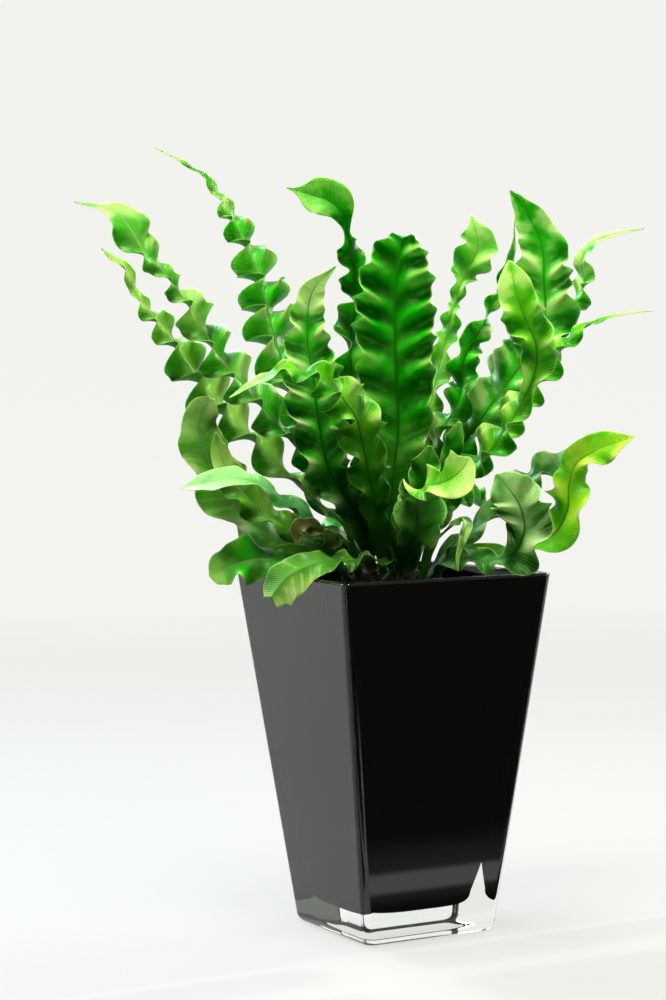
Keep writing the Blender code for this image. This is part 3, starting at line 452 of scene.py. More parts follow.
def place_sockets():
    """The bottom and axis of each frond's hole: one ring a tier, in the order of the fronds' bearings."""
    sockets = {}
    for tier, radius in enumerate(TIER_RADIUS):
        members = [f for f in FRONDS if f.tier == tier]
        bearing = {f.name: math.atan2(*to_plant(f.midrib[1])[1::-1]) for f in members}
        members.sort(key=lambda f: bearing[f.name])
        even = TAU / len(members)
        least = min(2 * math.asin(SOCKET_SPACING / 2 / radius), even)
        for member, angle in zip(members, spread([bearing[f.name] for f in members], least)):
            outward = np.array([math.cos(angle), math.sin(angle), 0.0])
            lean = TIER_LEAN[tier]
            axis = outward * math.sin(lean) + np.array([0.0, 0.0, math.cos(lean)])
            mouth = outward * radius + np.array([0.0, 0.0, crown_height(radius)])
            sockets[member.name] = (mouth - axis * SOCKET_DEPTH, axis)
    return sockets


def stations(count):
    """Places along a frond from 0 at the crown to 1 at the tip, closer together towards the tip."""
    waves = np.linspace(0.0, 1.0, count)
    start = 1.0 - WAVE_GATHER
    return (np.sqrt(start ** 2 + 4 * WAVE_GATHER * waves) - start) / (2 * WAVE_GATHER)


def smooth_curve(points, count):
    """Points at the stations of a centripetal curve through the given ones, and its length."""
    points = np.asarray(points, float)
    padded = np.vstack([2 * points[0] - points[1], points, 2 * points[-1] - points[-2]])
    knots = np.concatenate([[0.0], np.cumsum(np.linalg.norm(np.diff(padded, axis=0), axis=1) ** 0.5)])
    dense = []
    for i in range(1, len(padded) - 2):
        t0, t1, t2, t3 = knots[i - 1:i + 3]
        p0, p1, p2, p3 = padded[i - 1:i + 3]
        t = np.linspace(t1, t2, CURVE_STEPS, endpoint=False)[:, None]
        a1 = (t1 - t) / (t1 - t0) * p0 + (t - t0) / (t1 - t0) * p1
        a2 = (t2 - t) / (t2 - t1) * p1 + (t - t1) / (t2 - t1) * p2
        a3 = (t3 - t) / (t3 - t2) * p2 + (t - t2) / (t3 - t2) * p3
        b1 = (t2 - t) / (t2 - t0) * a1 + (t - t0) / (t2 - t0) * a2
        b2 = (t3 - t) / (t3 - t1) * a2 + (t - t1) / (t3 - t1) * a3
        dense.append((t2 - t) / (t2 - t1) * b1 + (t - t1) / (t2 - t1) * b2)
    dense = np.vstack(dense + [padded[-2:-1]])
    reach = np.concatenate([[0.0], np.cumsum(np.linalg.norm(np.diff(dense, axis=0), axis=1))])
    places = reach[-1] * stations(count)
    return np.stack([np.interp(places, reach, dense[:, k]) for k in range(3)], axis=1), reach[-1]


def frond_spine(member, socket, count):
    """Stations along a frond: their points, the tangents, the upper face's normals and the length."""
    place, axis = socket
    start = [place + axis * (GAP + reach * SOCKET_DEPTH) for reach in SOCKET_REACHES]
    route = np.vstack([start, to_plant(member.midrib)])
    points, length = smooth_curve(route, count)
    tangent = unit(np.gradient(points, axis=0))
    along = stations(count)[:, None]
    turn = Matrix.Rotation(PLANT_TURN, 3, "Z")
    low = np.array(turn @ Vector(member.low_face).normalized())
    tip = np.array(turn @ Vector(member.tip_face).normalized())
    face = lerp(low, tip, smoothstep(*FACE_TURNS, along))
    normal = unit(face - (face * tangent).sum(axis=1, keepdims=True) * tangent)
    return points, tangent, normal, length / MM


def blade_half_width(member, along, length, room):
    """Half width in millimetres along the frond: its outline with the corners eased, less the narrowing."""
    places, halves = zip(*member.outline)
    easing = np.minimum(EASING, 1.0 - along)
    nearby = along[:, None] + easing[:, None] * np.linspace(-1.0, 1.0, EASING_STEPS)
    width = np.interp(nearby, places, halves).mean(axis=1)
    blade = smoothstep(STALK_LENGTH, 3 * STALK_LENGTH, along * length)
    width = np.maximum(lerp(STALK_HALF, width, blade), TIP_HALF)
    return np.maximum(width * room, np.minimum(width, lerp(STALK_HALF, TIP_HALF, along)))


def channel(member, along):
    """How far both sides of the blade rise from the midrib, as an angle at each place along it."""
    return np.radians(lerp(CHANNEL, member.keel, smoothstep(*KEEL_GROWS, along)))


def liveliness(member, along):
    """The share of their full swing that the waves have at each place: none at the crown and at the tip."""
    return smoothstep(WAKING, member.wake, along) * smoothstep(member.calm + CALMING, member.calm, along)


def waves(member, side, along, length, rng):
    """Phase and swing of one side's waves along the frond. Their beat drifts, so no two waves are alike."""
    wave = np.linspace(0.0, 1.0, len(along)) * length / member.pitch
    phase = TAU * (wave + (member.lag if side > 0 else 0.0))
    for size, rate in DRIFTS:
        phase = phase + size * np.sin(rate * wave + rng.uniform(0, TAU))
    swell = 1.0 + SWELL * np.sin(SWELL_RATE * wave + rng.uniform(0, TAU))
    return phase, math.radians(member.swing) * swell * liveliness(member, along)


def spread_out(side, spine, width, phase, angle, edges):
    """Points from the midrib to one margin at each station, along veins that rise by the given angles."""
    points, tangent, normal, _ = spine
    along = stations(len(points))
    across = np.cross(tangent, normal) * side
    sweep = VEIN_SWEEP * smoothstep(*SWEEP_GROWS, along)[:, None]
    move = np.cos(angle)[..., None] * across[:, None, :] + np.sin(angle)[..., None] * normal[:, None, :]
    move = (tangent * np.sin(sweep))[:, None, :] + np.cos(sweep)[..., None] * move
    lobed = width * (1 + LOBING * np.cos(phase + LOBE_SHIFT) * smoothstep(*LOBES_GROW, along))
    move = move * (lobed[:, None] * MM * np.diff(edges))[..., None]
    return points[:, None, :] + np.cumsum(move, axis=1)


def swings(member, side, spine, edges):
    """Phase of one side's waves, the angle of each strip of it between the given shares of its width, the
    strips' middles and the random source."""
    along = stations(len(spine[0]))
    rng = random.Random(member.seed * 2 + (side > 0))
    phase, swing = waves(member, side, along, spine[3], rng)
    reach = (edges[1:] + edges[:-1]) / 2
    turn = phase[:, None] + FOLD_LAG * reach
    angle = channel(member, along)[:, None] + swing[:, None] * np.sin(turn) * reach ** member.curl
    return phase, angle, reach, rng


def blade_side(member, side, spine, width):
    """One side of the solid's blade, which swings up and down in waves."""
    edges = np.linspace(0.0, 1.0, REACH_STEPS + 1)
    phase, angle, _, _ = swings(member, side, spine, edges)
    return spread_out(side, spine, width, phase, angle, edges)


def frond_surface(member, socket, count, lateral, room, swollen=0.0):
    """Upper and lower faces of a frond as grids of points, margin to margin."""
    spine = frond_spine(member, socket, count)
    along = stations(count)
    width = blade_half_width(member, along, spine[3], room)
    pick = np.arange(1, lateral + 1) * (REACH_STEPS // lateral) - 1
    left = blade_side(member, -1, spine, width)[:, pick][:, ::-1]
    right = blade_side(member, 1, spine, width)[:, pick]
    middle = np.concatenate([left, spine[0][:, None, :], right], axis=1)
    normal = unit(np.cross(np.gradient(middle, axis=1), np.gradient(middle, axis=0)))
    half_thick = BLADE_THICK / 2 + swollen
    rib = np.zeros(2 * lateral + 1)
    rib[lateral] = 1.0
    rib_depth = lerp(RIB_BASE, RIB_TIP, smoothstep(*RIB_FADES, along))
    below = (half_thick + rib_depth[:, None] * rib) * MM
    upper = middle + normal * (half_thick * MM)
    lower = middle - normal * below[..., None]
    return upper, lower


def surface_mesh(upper, lower):
    """Closed triangles round the two faces, split alike above and below."""
    count, columns = upper.shape[:2]
    ring = 2 * columns
    vertices = np.concatenate([upper, lower[:, ::-1]], axis=1).reshape(-1, 3)
    faces = []
    for k in range(count - 1):
        a, b = k * ring, (k + 1) * ring
        for i in range(ring):
            j = (i + 1) % ring
            if i < columns:
                faces += [(a + i, a + j, b + j), (a + i, b + j, b + i)]
            else:
                faces += [(a + i, a + j, b + i), (a + j, b + j, b + i)]
    last = (count - 1) * ring
    for i in range(columns - 1):
        j = ring - 1 - i
        faces += [(i, j, i + 1), (i + 1, j, j - 1)]
        faces += [(last + i, last + i + 1, last + j), (last + i + 1, last + j - 1, last + j)]
    return vertices, faces


def station_count(member, socket):
    """Enough stations to draw each wave."""
    length = frond_spine(member, socket, MEASURE_STATIONS)[3]
    return int(round(length / member.pitch * STATIONS_PER_WAVE)) + 4


def make_room(sockets, obstacles):
    """Each frond's narrowing along its length, which is less than 1 only where two blades would cross."""
    counts = {f.name: station_count(f, sockets[f.name]) for f in FRONDS}
    room = {f.name: np.ones(counts[f.name]) for f in FRONDS}
    for _ in range(MAKE_ROOM_ROUNDS):
        trees = {}
        for member in FRONDS:
            name = member.name
            grids = frond_surface(member, sockets[name], counts[name], 1, room[name], SWOLLEN)
            vertices, faces = surface_mesh(*grids)
            trees[name] = BVHTree.FromPolygons([tuple(v) for v in vertices], faces)
        crossing = {name: set() for name in room}
        for first, member in enumerate(FRONDS):
            for other in FRONDS[first + 1:]:
                for a, b in trees[member.name].overlap(trees[other.name]):
                    crossing[member.name].add(a // FACES_A_STATION)
                    crossing[other.name].add(b // FACES_A_STATION)
            for obstacle in obstacles:
                for a, _ in trees[member.name].overlap(obstacle):
                    crossing[member.name].add(a // FACES_A_STATION)
        if not any(crossing.values()):
            break
        for name, marked in crossing.items():
            factor = np.ones(counts[name])
            for station in marked:
                factor[max(station - 1, 0):station + 3] = YIELD
            narrowed = room[name] * factor
            padded = np.pad(narrowed, 1, mode="edge")
            room[name] = np.minimum(narrowed, (padded[:-2] + 2 * narrowed + padded[2:]) / 4)
    return room


def tree_of(item):
    """Search tree of a mesh, to test the fronds against."""
    points = [vertex.co for vertex in item.data.vertices]
    return BVHTree.FromPolygons(points, [tuple(face.vertices) for face in item.data.polygons])


def add_piece(name, vertices, faces, materials, smooth=True):
    """A mesh object with its materials."""
    mesh = bpy.data.meshes.new(name)
    mesh.from_pydata([tuple(v) for v in vertices], [], faces)
    for material in materials:
        mesh.materials.append(material)
    if smooth:
        mesh.shade_smooth()
    item = bpy.data.objects.new(name, mesh)
    bpy.context.scene.collection.objects.link(item)
    return item


def add_values(piece, name, values):
    """A value for each point, which a material reads by its name."""
    layer = piece.data.attributes.new(name, "FLOAT", "POINT")
    layer.data.foreach_set("value", np.asarray(values, np.float32))


def sheet_mesh(profile, left, right):
    """Sheet between two sides along a profile of places and heights."""
    vertices = [Vector((side, away, up)) for away, up in profile for side in (left, right)]
    faces = [(2 * k, 2 * k + 1, 2 * k + 3, 2 * k + 2) for k in range(len(profile) - 1)]
    return vertices, faces


def dress(piece, node):
    """Let a piece stand for a solid: hang it under the root and hide the solid."""
    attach(piece, "root")
    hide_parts(node)
    return piece


# Materials

class Nodes:
    """Short calls to build one material's node tree."""

    def __init__(self, name):
        self.material = bpy.data.materials.new(name)
        self.material.use_nodes = True
        self.tree = self.material.node_tree
        self.shader = self.tree.nodes["Principled BSDF"]

    def link(self, source, socket):
        self.tree.links.new(source, socket)

    def put(self, socket, value):
        if isinstance(value, bpy.types.NodeSocket):
            self.link(value, socket)
        elif isinstance(value, tuple) and len(value) == 3 and socket.type == "RGBA":
            socket.default_value = (*value, 1.0)
        else:
            socket.default_value = value

    def attribute(self, name):
        node = self.tree.nodes.new("ShaderNodeAttribute")
        node.attribute_name = name
        return node.outputs["Fac"]

    def math(self, operation, *values):
        node = self.tree.nodes.new("ShaderNodeMath")
        node.operation = operation
        for socket, value in zip(node.inputs, values):
            self.put(socket, value)
        return node.outputs[0]

    def times(self, first, second):
        return self.math("MULTIPLY", first, second)

    def plus(self, first, second):
        return self.math("ADD", first, second)

    def radius(self, x, y):
        """Distance from the vase's axis."""
        return self.math("SQRT", self.plus(self.times(x, x), self.times(y, y)))

    def toward(self, x, y, way):
        """Distance from the vase's axis in one level direction."""
        return self.plus(self.times(x, way[0]), self.times(y, way[1]))

    def ramp(self, value, low, high, start=0.0, end=1.0):
        node = self.tree.nodes.new("ShaderNodeMapRange")
        node.interpolation_type = "SMOOTHSTEP"
        for socket, part in zip(node.inputs, (value, low, high, start, end)):
            self.put(socket, part)
        return node.outputs[0]

    def strip(self, value, rise, fall):
        """1 between two soft edges."""
        return self.times(self.ramp(value, *rise), self.ramp(value, *fall))

    def mix(self, amount, first, second):
        node = self.tree.nodes.new("ShaderNodeMix")
        node.data_type = "RGBA"
        for index, value in ((0, amount), (6, first), (7, second)):
            self.put(node.inputs[index], value)
        return node.outputs[2]

    def split(self, vector):
        node = self.tree.nodes.new("ShaderNodeSeparateXYZ")
        self.link(vector, node.inputs[0])
        return tuple(node.outputs)

    def place(self):
        return self.tree.nodes.new("ShaderNodeTexCoord").outputs["Object"]

    def noise(self, scale, detail=3.0, roughness=0.55, shift=None):
        node = self.tree.nodes.new("ShaderNodeTexNoise")
        vector = self.place()
        if shift is not None:
            mapping = self.tree.nodes.new("ShaderNodeMapping")
            self.link(vector, mapping.inputs["Vector"])
            mapping.inputs["Location"].default_value = shift
            vector = mapping.outputs["Vector"]
        self.link(vector, node.inputs["Vector"])
        node.inputs["Scale"].default_value = scale
        node.inputs["Detail"].default_value = detail
        node.inputs["Roughness"].default_value = roughness
        return node.outputs["Fac"]

    def bump(self, height, distance, strength=1.0, normal=None):
        node = self.tree.nodes.new("ShaderNodeBump")
        node.inputs["Strength"].default_value = strength
        node.inputs["Distance"].default_value = distance
        self.link(height, node.inputs["Height"])
        if normal is not None:
            self.link(normal, node.inputs["Normal"])
        return node.outputs["Normal"]

    def set(self, **values):
        for name, value in values.items():
            self.put(self.shader.inputs[name.replace("_", " ")], value)


# A tone's shade colour is painted shade; its patch share sets both the yellow patches and the painted
# highlights on the crests.
Look = namedtuple("Look", "shade base glow patch under roughness")

LOOKS = {
    "deep": Look((0.0006, 0.072, 0.0002), (0.0025, 0.330, 0.0004), (0.320, 0.460, 0.110), 0.50, 0.25, 0.27),
    "fresh": Look((0.0014, 0.115, 0.0003), (0.018, 0.410, 0.0008), (0.560, 0.560, 0.280), 0.80, 0.45, 0.25),
    "lime": Look((0.0160, 0.190, 0.0020), (0.130, 0.490, 0.0050), (0.640, 0.640, 0.260), 0.55, 0.35, 0.28),
    "pale": Look((0.0300, 0.200, 0.0080), (0.190, 0.460, 0.0500), (0.500, 0.620, 0.260), 0.50, 0.35, 0.42),
    "yellow": Look((0.0600, 0.320, 0.0040), (0.290, 0.570, 0.0100), (0.640, 0.680, 0.160), 0.55, 0.25, 0.30),
    "olive": Look((0.0120, 0.085, 0.0020), (0.075, 0.285, 0.0070), (0.420, 0.510, 0.150), 0.55, 0.55, 0.30),
    "bluish": Look((0.0060, 0.110, 0.0120), (0.080, 0.360, 0.0900), (0.400, 0.740, 0.330), 0.50, 0.45, 0.22),
    "grey": Look((0.0080, 0.085, 0.0060), (0.050, 0.240, 0.0260), (0.400, 0.540, 0.230), 0.75, 0.45, 0.36),
    "dry": Look((0.0200, 0.018, 0.0050), (0.110, 0.090, 0.0300), (0.300, 0.260, 0.1100), 0.55, 0.30, 0.75),
}
UNDERSIDE = (0.115, 0.260, 0.085)
MARGIN = (0.300, 0.480, 0.110)
MIDRIB = (0.004, 0.070, 0.001)
# Painted shade for leaves deep in the plant.
HEART_SHADE = (0.0012, 0.032, 0.0006)
SUNLIT = (0.250, 0.430, 0.080)
PALE_STEM = (0.260, 0.340, 0.140)
SILVER = (0.420, 0.560, 0.300)
SPECULAR_TINT = (0.32, 1.0, 0.14)
GLASS_TINTS = ((0.97, 0.99, 0.975), (0.99, 1.0, 0.995))
BLACK_TINTS = ((0.0012, 0.0013, 0.0011), (0.0026, 0.0028, 0.0024))
# Peat colours darkened as painted shade under the fronds.
PEAT_AND_SHADE_TINTS = ((0.002, 0.0014, 0.001), (0.010, 0.007, 0.004))
PEAT_FIBRE = (0.026, 0.018, 0.010)
SCALE_TINTS = ((0.008, 0.005, 0.003), (0.034, 0.018, 0.009))
SCALE_TIP = (0.060, 0.036, 0.018)
PAINT_TINTS = ((0.060, 0.061, 0.060), (0.064, 0.065, 0.064))
PAINT_GLOW = (0.859, 0.863, 0.827)
CARD_TINTS = ((0.050, 0.056, 0.042), (1.2, 1.28, 1.15))

# Where a leaf's colour changes: shares of the width or length, and metres from the vase's axis or up
RIB_REACH = (0.015, 0.065)
MARGIN_REACH = (0.94, 0.99)
# Where painted shade darkens the leaves: near the crown, near the vase's axis and low down.
SHADE_ALONG = (0.06, 0.45)
SHADE_OUT = (0.030, 0.075)
SHADE_UP = (0.215, 0.310)
SILVER_UP = (0.215, 0.250)
LEFT_OUT = (0.040, 0.120)
FRONT_OUT = (0.032, 0.060)
LEFTWARD = (-math.cos(PLANT_TURN), -math.sin(PLANT_TURN))
FRONTWARD = (math.sin(PLANT_TURN), -math.cos(PLANT_TURN))
VEIN_RELIEF = 0.00012
GRAIN_RELIEF = 0.00003


def leaf_patterns(nodes, seed):
    """A soft cloud and a fine fleck, with veins and wider bands that stray with them."""
    shift = (0.37 * seed, 0.11 * seed, 0.0)
    cloud = nodes.noise(34.0, 3.0, 0.55, shift)
    fleck = nodes.noise(190.0, 4.0, 0.6, shift)
    span = nodes.attribute("span")
    stray = nodes.plus(nodes.times(cloud, 9.0), nodes.times(fleck, 2.5))
    vein, band = [nodes.math("SINE", nodes.plus(nodes.times(span, TAU / pitch), stray))
                  for pitch in (VEIN_PITCH, BAND_PITCH)]
    return cloud, fleck, vein, band


def leaf_colour(nodes, look, along, reach, crest, patterns):
    """A tone that warms towards the tip, darker in the wave valleys and towards the crown as painted shade,
    with yellow patches that gather on the wave crests as painted highlights, flecks, streaks and bands, and
    the bands.
    """
    cloud, fleck, vein, band = patterns
    # Painted shade: darker in the wave valleys and towards the crown, lighter on the crests, with a random
    # cloud of tone.
    shade_and_tone = nodes.plus(nodes.times(along, 0.4), nodes.times(crest, 0.7))
    shade_and_tone = nodes.plus(shade_and_tone, nodes.times(nodes.math("SUBTRACT", cloud, 0.5), 1.1))
    colour = nodes.mix(nodes.ramp(shade_and_tone, -0.1, 0.7), look.shade, look.base)
    lively = nodes.mix(0.35, look.base, look.glow)
    # Painted highlight: the yellow patches gather on the wave crests, and also towards the margin and the
    # tip.
    light = nodes.plus(nodes.times(crest, 0.22), nodes.times(reach, 0.14))
    light = nodes.plus(light, nodes.times(nodes.ramp(along, 0.7, 1.0), 0.16))
    patch = nodes.ramp(nodes.plus(cloud, light), 0.61, 0.80, 0.0, look.patch)
    colour = nodes.mix(patch, colour, look.glow)
    colour = nodes.mix(nodes.ramp(fleck, 0.5, 0.8, 0.0, 0.25), colour, lively)
    streak = nodes.times(nodes.ramp(vein, 0.2, 1.0), nodes.ramp(cloud, 0.40, 0.62, 0.0, 0.5))
    colour = nodes.mix(streak, colour, lively)
    band = nodes.times(nodes.ramp(band, 0.2, 1.0), nodes.ramp(reach, 0.04, 0.30))
    band = nodes.times(band, nodes.ramp(cloud, 0.42, 0.64, 0.0, 0.75 * look.patch))
    return nodes.mix(band, colour, lively), band


def leaf_material(member):
    """Leaf tissue with its rib and margin: silvery at the front, with painted sunlight on the left and
    painted shade near the crown and in the plant's middle.
    """
    look = LOOKS[member.tone]
    nodes = Nodes("leaf_" + member.name)
    along, reach, under, crest = [nodes.attribute(name) for name in ("tipward", "reach", "under", "crest")]
    patterns = leaf_patterns(nodes, member.seed)
    cloud, fleck, vein, _ = patterns
    colour, band = leaf_colour(nodes, look, along, reach, crest, patterns)
    x, y, z = nodes.split(nodes.place())
    outer = nodes.ramp(nodes.toward(x, y, LEFTWARD), *LEFT_OUT)
    front = nodes.ramp(nodes.toward(x, y, FRONTWARD), *FRONT_OUT)
    silver = nodes.times(nodes.times(band, front), nodes.ramp(z, *SILVER_UP, 0.9, 0.0))
    colour = nodes.mix(silver, colour, SILVER)
    # Painted sunlight: fronds on the plant's left side are mixed towards a lighter colour.
    colour = nodes.mix(nodes.times(outer, nodes.ramp(cloud, 0.3, 0.7, 0.10, 0.55)), colour, SUNLIT)
    stem = nodes.mix(nodes.ramp(along, 0.5, 1.0, 0.0, 0.4), MIDRIB, look.base)
    stem = nodes.mix(nodes.times(outer, 0.75), nodes.mix(under, stem, UNDERSIDE), PALE_STEM)
    colour = nodes.mix(nodes.ramp(reach, *RIB_REACH, 0.85, 0.0), colour, stem)
    colour = nodes.mix(nodes.ramp(reach, *MARGIN_REACH, 0.0, 0.5), colour, MARGIN)
    matter = nodes.mix(nodes.times(under, look.under), colour, UNDERSIDE)
    # Painted shade near the crown, weaker at the front, and low in the plant's middle near the vase's axis.
    depth = nodes.math("SUBTRACT", 1.0, nodes.times(front, 0.65))
    matter = nodes.mix(nodes.times(depth, nodes.ramp(along, *SHADE_ALONG, 0.9, 0.0)), matter, HEART_SHADE)
    within = nodes.ramp(nodes.radius(x, y), *SHADE_OUT, 0.85, 0.0)
    matter = nodes.mix(nodes.times(within, nodes.ramp(z, *SHADE_UP, 1.0, 0.0)), matter, HEART_SHADE)
    shine = nodes.plus(nodes.times(fleck, 0.16), look.roughness + 0.02)
    shine = nodes.plus(shine, nodes.times(under, 0.16))
    height = nodes.plus(nodes.times(vein, 0.5), nodes.times(fleck, 0.8))
    normal = nodes.bump(height, VEIN_RELIEF, 0.8)
    normal = nodes.bump(nodes.noise(2300.0, 2.0), GRAIN_RELIEF, 0.6, normal)
    nodes.set(Base_Color=matter, Roughness=shine, Normal=normal, Subsurface_Weight=0.45,
              Subsurface_Scale=0.0014, Specular_IOR_Level=0.25, Specular_Tint=SPECULAR_TINT,
              Coat_Weight=0.06, Coat_Roughness=0.20)
    nodes.shader.inputs["Subsurface Radius"].default_value = (0.5, 1.0, 0.05)
    return nodes.material


def clear_glass_material():
    """Clear glass with the faint smears of handling."""
    nodes = Nodes("clear_glass")
    smear = nodes.noise(22.0, 4.0, 0.6)
    nodes.set(Base_Color=nodes.mix(smear, *GLASS_TINTS), Roughness=nodes.ramp(smear, 0.45, 0.85, 0.0, 0.008),
              Transmission_Weight=1.0, IOR=1.5)
    return nodes.material


def black_glass_material(name, level):
    """Black glass: the level is 0 where it lies in contact with the clear glass."""
    nodes = Nodes(name)
    cloud = nodes.noise(30.0, 3.0)
    nodes.set(Base_Color=nodes.mix(cloud, *BLACK_TINTS), Roughness=nodes.ramp(cloud, 0.3, 0.8, 0.04, 0.09),
              Specular_IOR_Level=level)
    return nodes.material


def peat_material():
    """Peat with lighter fibres, darkened past its own colour as painted shade."""
    nodes = Nodes("peat_mix")
    grain = nodes.noise(420.0, 5.0, 0.7)
    fibre = nodes.noise(1400.0, 3.0, 0.6)
    colour = nodes.mix(nodes.ramp(grain, 0.3, 0.75), *PEAT_AND_SHADE_TINTS)
    colour = nodes.mix(nodes.ramp(fibre, 0.62, 0.80, 0.0, 0.6), colour, PEAT_FIBRE)
    nodes.set(Base_Color=colour, Roughness=nodes.ramp(grain, 0.2, 0.9, 0.85, 1.0),
              Normal=nodes.bump(grain, 0.0012, 1.0))
    return nodes.material


def scale_material():
    """Papery brown scales of the crown."""
    nodes = Nodes("brown_scales")
    grain = nodes.noise(900.0, 4.0, 0.6)
    tip = nodes.attribute("tipward")
    colour = nodes.mix(nodes.ramp(grain, 0.3, 0.7), *SCALE_TINTS)
    colour = nodes.mix(nodes.ramp(tip, 0.3, 1.0, 0.0, 0.55), colour, SCALE_TIP)
    nodes.set(Base_Color=colour, Roughness=nodes.ramp(grain, 0.2, 0.9, 0.55, 0.85),
              Normal=nodes.bump(grain, 0.0003, 0.8))
    return nodes.material


def paint_material():
    """Matt paint with a barely visible cloud, lit from within, more so far from the lights."""
    nodes = Nodes("pale_paint")
    cloud = nodes.noise(3.0, 4.0, 0.6)
    x, y, _ = nodes.split(nodes.place())
    nodes.set(Base_Color=nodes.mix(cloud, *PAINT_TINTS), Roughness=nodes.ramp(cloud, 0.2, 0.8, 0.8, 0.9),
              Normal=nodes.bump(nodes.noise(260.0, 4.0), 0.0002, 0.3), Emission_Color=PAINT_GLOW,
              Emission_Strength=nodes.ramp(nodes.radius(x, y), *GLOW_PLACES, *GLOW_LEVELS))
    return nodes.material


def card_material():
    """Black card with faint light bands, which the dark glass shows as gleams at its foot and corner."""
    nodes = Nodes("dark_card")
    across, away, up = nodes.split(nodes.place())
    near, band = [nodes.strip(away, *edges) for edges in CARD_BANDS]
    wide = nodes.times(nodes.ramp(away, *CARD_FADE[0], 0.0, 0.16), nodes.ramp(away, *CARD_FADE[1]))
    line = nodes.times(nodes.strip(across, *CARD_LINE), nodes.ramp(up, *CARD_LINE_UP))
    light = nodes.plus(nodes.plus(near, band), nodes.plus(wide, line))
    nodes.set(Base_Color=(0.0, 0.0, 0.0), Specular_IOR_Level=0.0, Emission_Strength=1.0,
              Emission_Color=nodes.mix(light, *CARD_TINTS))
    return nodes.material


# Vase

def quarter(steps=FINE_CORNER):
    """Angles over a quarter turn."""
    return [step * math.pi / 2 / steps for step in range(steps + 1)]


def round_square(half, radius, z):
    """Points round a square with rounded corners, close together where a flat side meets its corners."""
    flat = half - radius
    points = []
    for corner in range(4):
        turn = Matrix.Rotation(corner * math.pi / 2, 2)
        for along in (-flat + SUPPORT, 0.0, flat - SUPPORT):
            points.append(turn @ Vector((half, along)))
        for angle in quarter():
            points.append(turn @ Vector((flat + radius * math.cos(angle), flat + radius * math.sin(angle))))
    return [(p.x, p.y, z) for p in points]


def loft(rings):
    """Closed surface through rings of equal count, with the first and last ring filled."""
    count = len(rings[0])
    vertices = [p for ring in rings for p in ring]
    faces = [tuple(reversed(range(count)))]
    for level in range(len(rings) - 1):
        for i in range(count):
            j = (i + 1) % count
            a, b = level * count, (level + 1) * count
            faces.append((a + i, a + j, b + j, b + i))
    last = (len(rings) - 1) * count
    faces.append(tuple(range(last, last + count)))
    return vertices, faces


def hollow_rings(inset, floor, top):
    """Rings of the hollow from its rounded floor up to the top, moved in by inset."""
    low = floor + CAVITY_ROUND
    rings = []
    for angle in quarter():
        half = cavity_half(low) - inset - CAVITY_ROUND * (1 - math.sin(angle))
        height = floor + CAVITY_ROUND * (1 - math.cos(angle))
        rings.append(round_square(half, cavity_corner(low) - inset, height))
    for z in (low + SUPPORT, *FINE_HEIGHTS, top - SUPPORT, top):
        rings.append(round_square(cavity_half(z) - inset, cavity_corner(z) - inset, z))
    return rings


def lip_rings(outer, inner, outer_corner, inner_corner):
    """Rings over a rounded lip, between two half widths and corners at the vase's full height."""
    rings = []
    for turn in range(LIP_STEPS + 1):
        angle = turn * math.pi / LIP_STEPS
        middle = (outer + inner) / 2
        half = middle + (outer - inner) / 2 * math.cos(angle)
        corner = lerp(outer_corner, inner_corner, (outer - half) / (outer - inner))
        rings.append(round_square(half, corner, VASE_HEIGHT - LIP_DROP * (1 - math.sin(angle))))
    return rings


def build_vase_glass():
    """Clear outer glass with a rounded heel, a thick base and a fire-polished lip."""
    rings = []
    for angle in quarter():
        half = outer_half(HEEL_RADIUS) - HEEL_RADIUS * (1 - math.sin(angle)) * HEEL_DEPTH
        rings.append(round_square(half, CORNER_RADIUS, HEEL_RADIUS * (1 - math.cos(angle))))
    lip = VASE_HEIGHT - LIP_DROP
    for z in (HEEL_RADIUS + SUPPORT, 0.5 * VASE_HEIGHT, lip - SUPPORT):
        rings.append(round_square(outer_half(z), CORNER_RADIUS, z))
    rings += lip_rings(RIM_HALF, cavity_half(VASE_HEIGHT), CORNER_RADIUS, CORNER_RADIUS)
    rings += reversed(hollow_rings(0.0, BASE_GLASS, lip - SUPPORT))
    return dress(add_piece("vase_glass_fine", *loft(rings), [clear_glass_material()]), "vase_glass")


def build_vase_lining():
    """Black glass cased inside the clear glass: its outside touches the clear glass, its inside is glossy."""
    lip = VASE_HEIGHT - LIP_DROP
    floor = BASE_GLASS + GAP
    outside = hollow_rings(-CONTACT, BASE_GLASS - CONTACT, lip - SUPPORT)
    half, inset = cavity_half(VASE_HEIGHT), GAP + LINING_WALL
    crest = lip_rings(half + CONTACT, half - inset, CORNER_RADIUS + CONTACT, CORNER_RADIUS - inset)
    inside = list(reversed(hollow_rings(inset, floor + LINING_FLOOR, lip - SUPPORT)))
    materials = [black_glass_material("black_glass_cased", 0.0), black_glass_material("black_glass", 0.2)]
    piece = add_piece("vase_lining_fine", *loft(outside + crest + inside), materials)
    cased = 1 + (len(outside) - 1) * len(outside[0])
    for index, polygon in enumerate(piece.data.polygons):
        polygon.material_index = 0 if index < cased else 1
    return dress(piece, "vase_lining")


# Growing mix and crown

def lump(x, y, scale, seed):
    return noise.noise(Vector((x * scale, y * scale, seed)))


def crumb(place, size, rng):
    """One lump of peat: a small ball with its points moved."""
    bm = bmesh.new()
    bmesh.ops.create_icosphere(bm, subdivisions=2, radius=size)
    stretch = Vector((rng.uniform(*CRUMB_WIDE), rng.uniform(*CRUMB_WIDE), rng.uniform(*CRUMB_FLAT)))
    turn = Matrix.Rotation(rng.uniform(0, TAU), 3, "Z")
    seed = rng.uniform(0, 50)
    vertices = []
    for v in bm.verts:
        rough = 1 + CRUMB_ROUGH * noise.noise(v.co / size * CRUMB_GRAIN + Vector((seed, seed, 0)))
        vertices.append(tuple(Vector(place) + turn @ (v.co * stretch * rough)))
    faces = [tuple(v.index for v in f.verts) for f in bm.faces]
    bm.free()
    return vertices, faces


